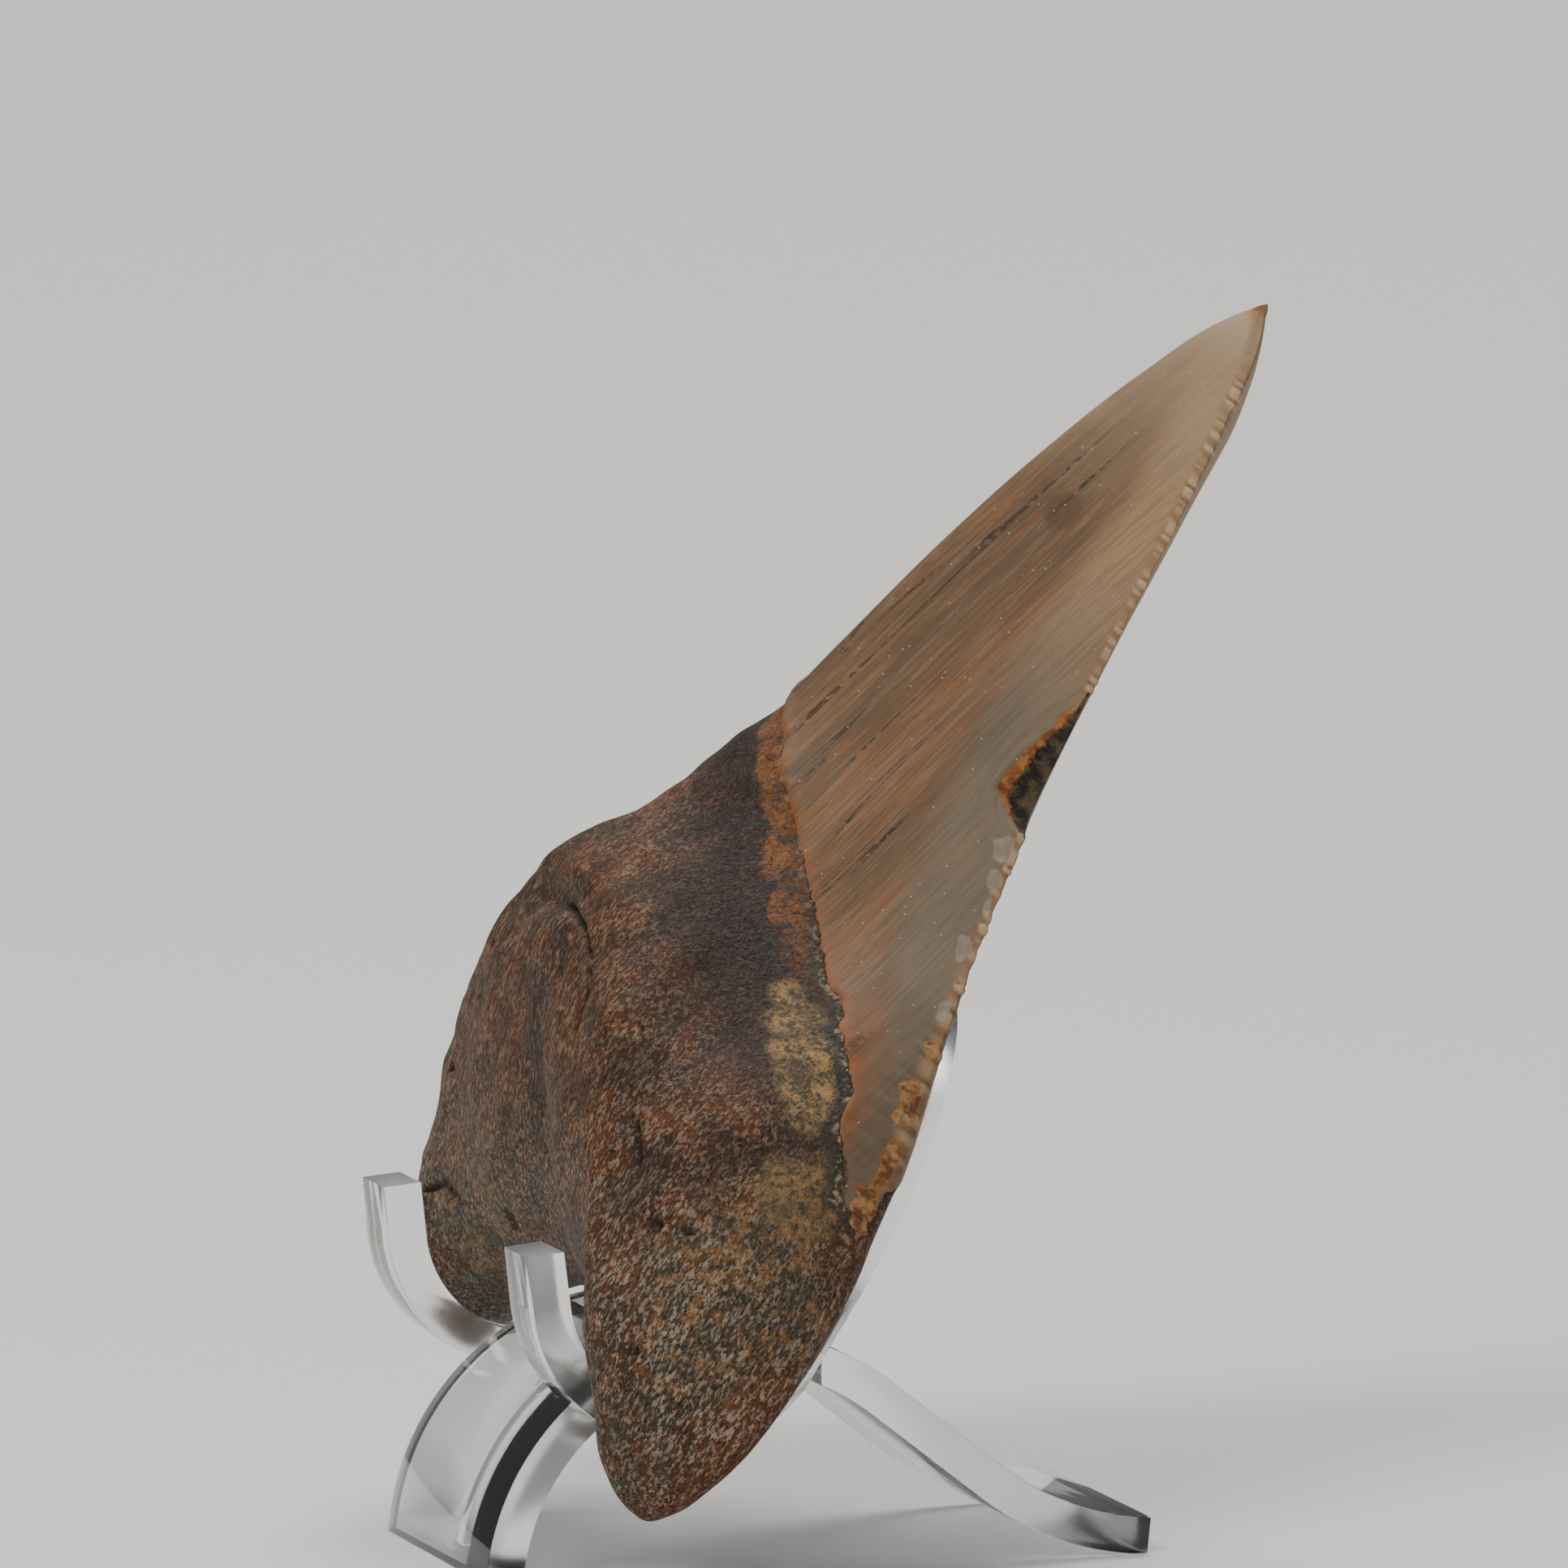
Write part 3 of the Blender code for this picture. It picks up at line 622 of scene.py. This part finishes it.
def bent_line(start, heading, bends):
    """Points (y, z) of a bent line; each bend is straight (length, 0) or round (radius, turn in degrees)."""
    points = [Vector(start)]
    angle = math.radians(heading)
    for size, turn in bends:
        if turn == 0:
            points.append(points[-1] + Vector((math.cos(angle), math.sin(angle))) * size)
            continue
        count = max(1, round(abs(turn) / ARC_STEP))
        step = math.radians(turn) / count
        chord = 2 * size * math.sin(abs(step) / 2)
        for _ in range(count):
            middle = angle + step / 2
            points.append(points[-1] + Vector((math.cos(middle), math.sin(middle))) * chord)
            angle += step
    return points


def placed(mesh, name):
    """A new object from a mesh in millimetres from the table point."""
    data = bpy.data.meshes.new(name)
    mesh.to_mesh(data)
    mesh.free()
    data.transform(Matrix.Translation(-BOX_CENTRE * MM) @ Matrix.Scale(MM, 4))
    return new_object(name, data)


def bent_sheet(name, line, width):
    """A sheet of the stand's thickness, bent along the line and centred on x = 0."""
    mesh = bmesh.new()
    rows = [[mesh.verts.new((x, y, z)) for x in (-width / 2, width / 2)] for y, z in line]
    for (left, right), (next_left, next_right) in zip(rows, rows[1:]):
        mesh.faces.new((left, right, next_right, next_left))
    made = placed(mesh, name)
    solid = made.modifiers.new("Sheet", "SOLIDIFY")
    solid.thickness = SHEET * MM
    solid.offset = 0.0
    solid.use_even_offset = True
    return made


def prism(name, outline, low, high, turn=Matrix.Identity(4)):
    """A cutter: the closed outline (x, y), standing from low to high along its own z, and then turned."""
    mesh = bmesh.new()
    face = mesh.faces.new([mesh.verts.new((x, y, low)) for x, y in outline])
    raised = bmesh.ops.extrude_face_region(mesh, geom=[face])["geom"]
    lift = Vector((0.0, 0.0, high - low))
    bmesh.ops.translate(mesh, verts=[v for v in raised if isinstance(v, bmesh.types.BMVert)], vec=lift)
    bmesh.ops.recalc_face_normals(mesh, faces=mesh.faces)
    bmesh.ops.transform(mesh, matrix=turn, verts=mesh.verts)
    return placed(mesh, name)


def finish_sheet(sheet, cutters):
    """Cuts the sheet, rounds its edges and keeps the result as a plain mesh."""
    for cutter, operation in cutters:
        boolean = sheet.modifiers.new(cutter.name, "BOOLEAN")
        boolean.operation = operation
        boolean.object = cutter
    bevel = sheet.modifiers.new("Rounded edges", "BEVEL")
    bevel.width = EDGE_ROUND * MM
    bevel.segments = BEVEL_SEGMENTS
    bevel.limit_method = "ANGLE"
    bevel.angle_limit = BEVEL_ANGLE
    graph = bpy.context.evaluated_depsgraph_get()
    data = bpy.data.meshes.new_from_object(sheet.evaluated_get(graph))
    sheet.modifiers.clear()
    sheet.data = data
    data.shade_smooth()
    data.set_sharp_from_angle(angle=SMOOTH_ANGLE)
    for cutter, _ in cutters:
        bpy.data.objects.remove(cutter)
    return sheet


def slot_outline():
    """Seen from above: wide between the hooks, then narrow where the arch's neck passes."""
    wide, narrow = SLOT["hook_gap"] / 2, SLOT["neck_gap"] / 2
    radius, bend = SLOT["corner"], SLOT["wide_until"] - SLOT["corner"]
    right = [(wide, -CUTTER_REACH), (wide, bend)]
    for step in range(1, SLOT["steps"] + 1):
        turn = math.radians(90 * step / SLOT["steps"])
        right.append((wide - radius * (1 - math.cos(turn)), bend + radius * math.sin(turn)))
    right += [(narrow, SLOT["wide_until"]), (narrow, SLOT["until"])]
    return right + [(-x, y) for x, y in reversed(right)]


def rest_outline():
    """Seen square to the back rest: sides that draw in a little, and a rounded top."""
    half = CRADLE_WIDTH / 2
    power = REST_TOP["power"]
    count = REST_TOP["steps"]
    side = []
    for step in range(count + 1):
        angle = math.radians(90 * step / count)
        rise = math.sin(angle) ** (2 / power)
        side.append((REST_TOP["radius"] * math.cos(angle) ** (2 / power), REST_TOP["height"] * rise))
    right = [(half, -CUTTER_REACH), (half, REST_TOP["taper_from"])] + side[:-1]
    return right + [(0.0, REST_TOP["height"])] + [(-x, y) for x, y in reversed(right)]


def rectangle(left, front, right, rear):
    return [(left, front), (right, front), (right, rear), (left, rear)]


def cradle():
    """Two hooks in front, a seat, and the back rest behind, all from one bent sheet."""
    forward = bent_line((-SEAT[0], SEAT[1]), 0.0, [(size, -turn) for size, turn in HOOK_BENDS])
    hooks = [Vector((-y, z)) for y, z in forward]
    rest = bent_line(SEAT, 0.0, REST_BENDS)
    made = bent_sheet("cradle_sheet", hooks[::-1] + rest[1:], CRADLE_WIDTH + SPARE_WIDTH)
    slot = prism("cradle_slot", slot_outline(), 0.0, CUTTER_REACH)
    lean = math.radians(REST_BENDS[0][1])
    top = rest[-1] - Vector((math.cos(lean), math.sin(lean))) * REST_TOP["height"]
    turn = Matrix.Translation((0.0, *top)) @ Matrix.Rotation(lean, 4, "X")
    outline = prism("cradle_outline", rest_outline(), -CUTTER_REACH, CUTTER_REACH, turn)
    return finish_sheet(made, ((slot, "DIFFERENCE"), (outline, "INTERSECT")))


def arch():
    """The wide arched foot, with a neck that the cradle's slot holds."""
    made = bent_sheet("arch_sheet", bent_line(ARCH_START, ARCH_HEADING, ARCH_BENDS), ARCH_WIDTH)
    far = CUTTER_REACH
    cutters = [(prism("table", rectangle(-far, -far, far, far), -far, 0.0), "DIFFERENCE")]
    for side, name in ((-1, "neck_far"), (1, "neck_near")):
        outline = rectangle(side * NECK["width"] / 2, NECK["front"], side * ARCH_WIDTH, NECK["rear"])
        cutters.append((prism(name, outline, 0.0, far), "DIFFERENCE"))
    return finish_sheet(made, cutters)


def colour(name):
    """The linear colour, with full opacity, of a named colour's screen values."""
    shares = [value / 255 for value in COLOURS[name]]
    linear = [s / 12.92 if s <= 0.04045 else ((s + 0.055) / 1.055) ** 2.4 for s in shares]
    return (*linear, 1.0)


class Shader:
    """A material and its nodes; each input is another node's output, a plain value or a colour's name."""

    def __init__(self, name):
        self.material = bpy.data.materials.new(name)
        self.material.use_nodes = True
        self.tree = self.material.node_tree
        self.surface = self.tree.nodes["Principled BSDF"]

    def feed(self, socket, value):
        if isinstance(value, bpy.types.NodeSocket):
            self.tree.links.new(value, socket)
        else:
            socket.default_value = colour(value) if isinstance(value, str) else value

    def node(self, kind, *values):
        """A new node, with its first inputs fed."""
        made = self.tree.nodes.new("ShaderNode" + kind)
        for socket, value in zip(made.inputs, values):
            self.feed(socket, value)
        return made

    def set(self, **inputs):
        """Inputs of the surface itself, named with underscores for spaces."""
        for name, value in inputs.items():
            self.feed(self.surface.inputs[name.replace("_", " ")], value)

    def measure(self, name, output="Fac"):
        node = self.node("Attribute")
        node.attribute_name = name
        return node.outputs[output]

    def math(self, operation, a, b=0.0):
        node = self.node("Math", a, b)
        node.operation = operation
        return node.outputs[0]

    def times(self, first, *others):
        for other in others:
            first = self.math("MULTIPLY", first, other)
        return first

    def plus(self, first, *others):
        for other in others:
            first = self.math("ADD", first, other)
        return first

    def step(self, value, low, high):
        """0 below low, 1 above high, and smooth between; low may be above high to turn it round."""
        ends = (1.0, 0.0) if low > high else (0.0, 1.0)
        node = self.node("MapRange", value, min(low, high), max(low, high), *ends)
        node.interpolation_type = "SMOOTHSTEP"
        return node.outputs["Result"]

    def blend(self, share, a, b):
        """A colour between a and b, which are the mix node's inputs 6 and 7."""
        node = self.node("Mix", share)
        node.data_type = "RGBA"
        self.feed(node.inputs[6], a)
        self.feed(node.inputs[7], b)
        return node.outputs[2]

    def number(self, share, a, b):
        """A number between a and b, which are the mix node's inputs 2 and 3."""
        node = self.node("Mix", share)
        self.feed(node.inputs[2], a)
        self.feed(node.inputs[3], b)
        return node.outputs[0]

    def apart(self, place):
        return self.node("SeparateXYZ", place).outputs

    def noise(self, place, scale, detail, roughness=0.55, distortion=0.0):
        node = self.node("TexNoise", place)
        settings = {"Scale": scale, "Detail": detail, "Roughness": roughness, "Distortion": distortion}
        for name, value in settings.items():
            self.feed(node.inputs[name], value)
        return node.outputs["Fac"]

    def drawn(self, place, scales, detail, roughness, distortion=0.0):
        """Noise with its own scale along each axis of the place."""
        node = self.node("VectorMath", place, scales)
        node.operation = "MULTIPLY"
        return self.noise(node.outputs[0], 1.0, detail, roughness, distortion)

    def cells(self, place, scale, feature="F1"):
        node = self.node("TexVoronoi", place)
        node.feature = feature
        self.feed(node.inputs["Scale"], scale)
        return node.outputs["Distance"]

    def patch(self, place, centre, radius, waver):
        """1 near a centre in the tooth's frame and 0 beyond the radius, with an uneven edge."""
        node = self.node("VectorMath", place, centre)
        node.operation = "DISTANCE"
        uneven = self.times(self.plus(waver, -0.5), radius * PATCH_WAVER)
        start, end = PATCH_EDGE
        return self.step(self.plus(node.outputs["Value"], uneven), radius * start, radius * end)

    def bump(self, height, depth):
        """Small relief of the given depth in millimetres."""
        node = self.node("Bump")
        self.feed(node.inputs["Distance"], depth * MM)
        self.feed(node.inputs["Height"], height)
        return node.outputs["Normal"]


def enamel_look(s, place, across, down, grain, from_edge, below):
    """Colour and relief of the crown: tan, streaked from root to tip, and paler toward the cutting edge, with
    a painted highlight on the serration tops.
    """
    flow = s.node("CombineXYZ", grain, down, s.times(across, THROUGH_STREAKS)).outputs[0]
    drawn = {name: s.drawn(flow, *settings) for name, settings in CROWN_NOISES.items()}
    broad, streak, fine, dash = (drawn[name] for name in ("broad", "streak", "fine", "dash"))
    cloud = s.noise(place, 0.16, 3.0)

    tan = s.blend(s.step(broad, 0.38, 0.62), "tan", "dull tan")
    tan = s.blend(s.times(s.step(streak, 0.50, 0.62), 0.36), tan, "warm streak")
    tan = s.blend(s.times(s.step(streak, 0.46, 0.36), 0.4), tan, "grey streak")
    tan = s.blend(s.times(s.step(fine, 0.52, 0.42), 0.30), tan, "dark thread")
    tan = s.blend(s.times(s.step(fine, 0.54, 0.62), 0.26), tan, "pale thread")
    grey = s.blend(s.step(cloud, 0.35, 0.65), "grey", "light grey")
    pale = s.blend(s.step(down, 34.0, 18.0), grey, "pale crown")
    pink = s.blend(s.step(streak, 0.4, 0.6), "pink", "dull pink")

    base_zone = s.times(s.step(below, -9.0, -2.0), s.step(down, 50.0, 58.0))
    tone = s.blend(s.times(base_zone, 0.8), tan, pink)
    seam = s.times(s.step(below, -0.70, -0.25), s.step(dash, 0.40, 0.55))
    tone = s.blend(s.times(seam, 0.7), tone, "orange seam")
    wander = s.plus(from_edge, s.times(s.plus(broad, -0.5), 2.0), s.times(s.plus(streak, -0.5), 2.5))
    limit = s.plus(s.times(s.step(down, 12.0, 36.0), 3.4), s.times(s.step(down, 47.0, 55.0), -3.4), 3.2)
    band = s.step(s.plus(wander, s.times(limit, -1.0)), 1.6, -1.6)
    tone = s.blend(s.times(band, 0.9), tone, pale)
    tone = s.blend(s.times(band, s.step(fine, 0.54, 0.40), 0.30), tone, "band streak")
    tip_zone = s.step(s.plus(down, s.times(cloud, 12.0)), 26.0, 9.0)
    tone = s.blend(s.times(tip_zone, 0.7), tone, "pale tip")

    ridge = s.math("ABSOLUTE", s.plus(drawn["ridge"], -0.5))
    where = s.step(drawn["zone"], 0.36, 0.52)
    lines = s.times(s.step(ridge, 0.023, 0.006), s.step(dash, 0.42, 0.50), where)
    reach = s.times(s.step(s.plus(wander, s.times(limit, -1.0)), -0.5, 3.0), s.step(down, 9.0, 17.0))
    tone = s.blend(s.times(lines, reach, 0.75), tone, "crown line")

    tone = s.blend(s.times(s.patch(place, *SMUDGE, cloud), 0.6), tone, "smudge")
    tone = s.blend(s.times(s.patch(place, *TIP_SPOT, cloud), 0.5), tone, "tip spot")
    specks = s.step(s.cells(place, 1.1), 0.10, 0.05)
    tone = s.blend(s.times(specks, 0.45), tone, "speck")
    # The cutting edge's own tan in the notches, with the serration tops painted paler as a highlight
    edge_tone = s.blend(s.step(s.measure("serration"), 0.35, 0.80), "notch", "serration")
    tone = s.blend(s.times(s.step(from_edge, 1.1, 0.2), 0.6), tone, edge_tone)
    return tone, s.plus(s.times(fine, 0.6), s.times(dash, 0.4), s.times(specks, 0.6))


def root_look(s, place, across, down, out):
    """Colour and relief of the root: brown, flecked along its fibres, with olive, ochre and rust patches."""
    fibre = s.drawn(place, *ROOT_NOISES["fibre"])
    fleck = s.drawn(place, *ROOT_NOISES["fleck"])
    broad = s.noise(place, 0.11, 3.0, 0.6)
    blotch = s.noise(place, 0.32, 4.0, 0.65)
    mottle = s.noise(place, 0.75, 4.0, 0.7)

    tone = s.blend(s.step(broad, 0.40, 0.60), "dark root", "brown root")
    tone = s.blend(s.times(s.step(blotch, 0.48, 0.62), 0.8), tone, "red brown")
    tone = s.blend(s.times(s.step(blotch, 0.44, 0.30), 0.6), tone, "grey brown")

    low = s.step(down, 66.0, 78.0)
    olive = s.times(s.step(mottle, 0.46, 0.58), s.plus(s.times(low, 0.6), 0.12))
    greens = s.math("MAXIMUM", s.patch(place, *FAR_GREEN, broad), s.patch(place, *NEAR_GREEN, broad))
    olive = s.math("MAXIMUM", olive, s.times(greens, s.step(mottle, 0.40, 0.55), 0.8))
    tone = s.blend(olive, tone, "olive")
    ochre = s.times(s.step(mottle, 0.52, 0.40), s.math("MAXIMUM", greens, s.times(low, 0.16)), 0.7)
    tone = s.blend(ochre, tone, "root ochre")
    rust = s.times(s.step(down, 74.0, 79.0), s.step(across, 28.0, 31.0), s.step(out, 3.4, 1.4))
    tone = s.blend(s.times(rust, 0.85), tone, "rust")

    dense = s.plus(s.times(s.step(blotch, 0.35, 0.6), 0.45), s.times(low, 0.24), 0.32)
    flecks = s.times(s.step(s.plus(s.times(fibre, 0.6), s.times(fleck, 0.4)), 0.48, 0.59), dense)
    tone = s.blend(s.times(flecks, 0.85), tone, s.blend(low, "fleck", "low fleck"))
    tone = s.blend(s.times(s.step(fleck, 0.47, 0.36), 0.75), tone, "root dark")
    return tone, s.plus(s.times(fibre, 0.8), s.times(fleck, 0.5), s.times(mottle, 0.5))


def neck_look(s, root, place, down, below):
    """Colours of the band under the enamel: a crackled orange strip, then purple-brown with pale patches."""
    waver = s.noise(place, 0.45, 4.0, 0.65)
    crumb = s.noise(place, 1.7, 4.0, 0.7)
    shifted = s.plus(below, s.times(s.plus(waver, -0.5), 3.4))
    dark = s.times(s.step(shifted, 9.5, 4.0), s.step(down, 66.0, 57.0))
    thread = s.drawn(place, *ROOT_NOISES["thread"])
    purple = s.blend(s.step(crumb, 0.4, 0.6), "purple", "deep purple")
    purple = s.blend(s.times(s.step(thread, 0.53, 0.64), 0.60), purple, "neck thread")
    tone = s.blend(s.times(dark, 0.85), root, purple)

    ragged = s.plus(s.times(waver, 0.5), s.times(crumb, 0.5))
    ochre = s.times(s.patch(place, *FAINT_OCHRE, ragged), 0.6)
    for *centre, radius in OCHRE_PATCH:
        ochre = s.math("MAXIMUM", ochre, s.patch(place, centre, radius, ragged))
    tone = s.blend(s.times(s.step(ochre, 0.0, 0.6), s.step(thread, 0.60, 0.48), 0.8), tone, "olive rim")
    tone = s.blend(s.times(ochre, s.step(crumb, 0.42, 0.56), 0.9), tone, "ochre")

    strip = s.times(s.step(shifted, 2.3, 1.7), s.step(down, 57.0, 51.0))
    cracks = s.step(s.cells(place, 0.85, "DISTANCE_TO_EDGE"), 0.035, 0.012)
    orange = s.blend(s.step(crumb, 0.35, 0.65), "burnt orange", "orange")
    tone = s.blend(s.times(strip, 0.95), tone, s.blend(s.times(cracks, 0.9), orange, "orange crack"))
    patches = s.times(s.step(ragged, 0.49, 0.58), s.step(shifted, 3.6, 2.6), 0.9)
    tone = s.blend(patches, tone, "dark patch")

    line = s.times(s.step(below, 0.95, 0.35), s.step(s.plus(down, s.times(crumb, 8.0)), 48.0, 56.0))
    tone = s.blend(s.times(line, 0.8), tone, "edge line")
    pale_share = s.number(s.step(down, 50.0, 56.0), 0.35, 0.85)
    crumbs = s.times(s.step(below, 0.55, 0.2), s.step(crumb, 0.50, 0.60), pale_share)
    return s.blend(crumbs, tone, "pale crumb")


def fossil_material():
    s = Shader("fossil")
    place = s.measure("place", "Vector")
    across, down, out = s.apart(place)
    grain, from_edge = s.measure("grain"), s.measure("from_edge")
    below = s.plus(s.measure("below"), s.times(s.plus(s.noise(place, 1.6, 3.0), -0.5), 0.5))

    enamel, enamel_relief = enamel_look(s, place, across, down, grain, from_edge, below)
    root, root_relief = root_look(s, place, across, down, out)
    root = neck_look(s, root, place, down, below)
    crown = s.step(below, 0.10, -0.10)
    tone = s.blend(crown, root, enamel)

    crumb = s.noise(place, 1.9, 4.0, 0.7)
    # Flake scars: a grey scar colour with a pale rim; the rim and the core's lightness are partly a painted
    # glint
    scar = s.measure("flake")
    scar_and_glint_tone = s.blend(s.step(scar, 0.35, 0.8), "scar rim glint", "scar")
    tone = s.blend(s.times(s.step(scar, 0.1, 0.6), 0.5), tone, scar_and_glint_tone)
    chip = s.plus(s.measure("matrix"), s.times(s.plus(crumb, -0.5), 1.1))
    matrix = s.step(chip, 0.30, 0.42)
    mud = s.noise(place, 0.9, 4.0, 0.7)
    core = s.times(s.step(chip, 0.50, 0.85), s.step(mud, 0.66, 0.44))
    stain = s.blend(s.step(mud, 0.42, 0.60), "stain", "pale stain")
    tone = s.blend(s.times(matrix, 0.9), tone, s.blend(s.times(core, 0.7), stain, "mud"))

    is_broken = s.step(s.measure("broken"), 0.3, 0.7)
    inner = s.step(s.plus(s.measure("inward"), s.times(s.plus(crumb, -0.5), 0.6)), 0.70, 0.88)
    fracture = s.blend(s.step(s.noise(place, 1.1, 4.0, 0.7), 0.42, 0.62), "dark break", "brown break")
    fracture = s.blend(inner, fracture, s.blend(s.step(mud, 0.4, 0.6), "break rim", "pale break rim"))
    tone = s.blend(is_broken, tone, fracture)
    # Pores and cracks painted near black: painted shade in their hollows
    tone = s.blend(s.times(s.measure("pit_shade"), 0.9), tone, "painted pore shade")

    root_rough = s.number(s.step(crumb, 0.4, 0.6), *FOSSIL["root_rough"])
    rough = s.number(crown, root_rough, s.number(scar, FOSSIL["crown_rough"], FOSSIL["scar_rough"]))
    rough = s.number(is_broken, rough, FOSSIL["broken_rough"])
    height = s.blend(crown, root_relief, s.times(enamel_relief, FOSSIL["crown_relief"]))
    s.set(Base_Color=tone, Roughness=rough, Normal=s.bump(height, FOSSIL["relief"]))
    s.set(IOR=FOSSIL["index"], Specular_IOR_Level=FOSSIL["sheen"])
    return s.material


def clear_material():
    s = Shader("clear_sheet")
    place = s.node("TexCoord").outputs["Object"]
    scuff = s.noise(place, CLEAR["scuffs_per_metre"], 4.0, 0.7)
    rough = s.number(s.step(scuff, 0.56, 0.72), CLEAR["rough"], CLEAR["scuffed"])
    facing = s.apart(s.node("NewGeometry").outputs["Normal"])
    side = s.step(s.math("ABSOLUTE", facing[0]), *CLEAR["square_on"])
    _, forward, height = s.apart(place)
    low, high = HOOK_TOP[0] * MM, HOOK_TOP[1] * MM
    upward = s.step(facing[2], *CLEAR["square_on"])
    top = s.times(upward, s.step(height, low, high), s.step(forward, 0.0, -low))
    rough = s.number(s.math("MAXIMUM", s.times(side, CLEAR["side_share"]), top), rough, CLEAR["cut_rough"])
    s.set(Base_Color="clear", Roughness=rough, Metallic=0.0, IOR=CLEAR["index"], Transmission_Weight=1.0)
    return s.material


def studio():
    """A pale floor out to the horizon, soft lights and the camera."""
    mesh = bmesh.new()
    bmesh.ops.create_circle(mesh, cap_ends=True, radius=FLOOR_RADIUS, segments=FLOOR_SEGMENTS)
    data = bpy.data.meshes.new("floor")
    mesh.to_mesh(data)
    mesh.free()
    floor = new_object("floor", data)
    pale = Shader("pale_floor")
    pale.set(Base_Color="floor", Roughness=FLOOR_ROUGHNESS)
    floor.data.materials.append(pale.material)

    aim = (AIM - BOX_CENTRE) * MM
    for name, azimuth, elevation, distance, size, power in LIGHTS:
        lamp = bpy.data.lights.new(name, "AREA")
        lamp.shape = "DISK"
        lamp.size = size
        lamp.energy = power
        stand_at(new_object(name, lamp), aim, math.radians(azimuth), math.radians(elevation), distance)

    world = bpy.data.worlds.new("studio")
    world.use_nodes = True
    background = world.node_tree.nodes["Background"]
    background.inputs["Color"].default_value = colour("sky")
    background.inputs["Strength"].default_value = WORLD_STRENGTH
    bpy.context.scene.world = world

    camera = new_object("camera", bpy.data.cameras.new("camera"))
    camera.data.lens = LENS
    camera.data.clip_start = CLIP_START
    camera.data.clip_end = 2 * FLOOR_RADIUS
    stand_at(camera, aim, AZIMUTH, ELEVATION, DISTANCE * MM)
    bpy.context.scene.camera = camera


def stand_at(made, aim, azimuth, elevation, distance):
    """Puts a lamp or the camera around the aim, facing it; azimuth 0 is toward -Y, and 90 toward +X."""
    flat = math.cos(elevation)
    toward = Vector((math.sin(azimuth) * flat, -math.cos(azimuth) * flat, math.sin(elevation)))
    made.location = aim + toward * distance
    made.rotation_euler = (made.location - aim).to_track_quat("Z", "Y").to_euler()


def main():
    clear = clear_material()
    for made, material, node, slot in (
        (tooth(), fossil_material(), "tooth", "fossil"),
        (cradle(), clear, "cradle", "clear_sheet"),
        (arch(), clear, "arch_foot", "clear_sheet"),
    ):
        made.data.materials.clear()
        made.data.materials.append(material)
        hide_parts(node)
        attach(made, "root")
    studio()


main()
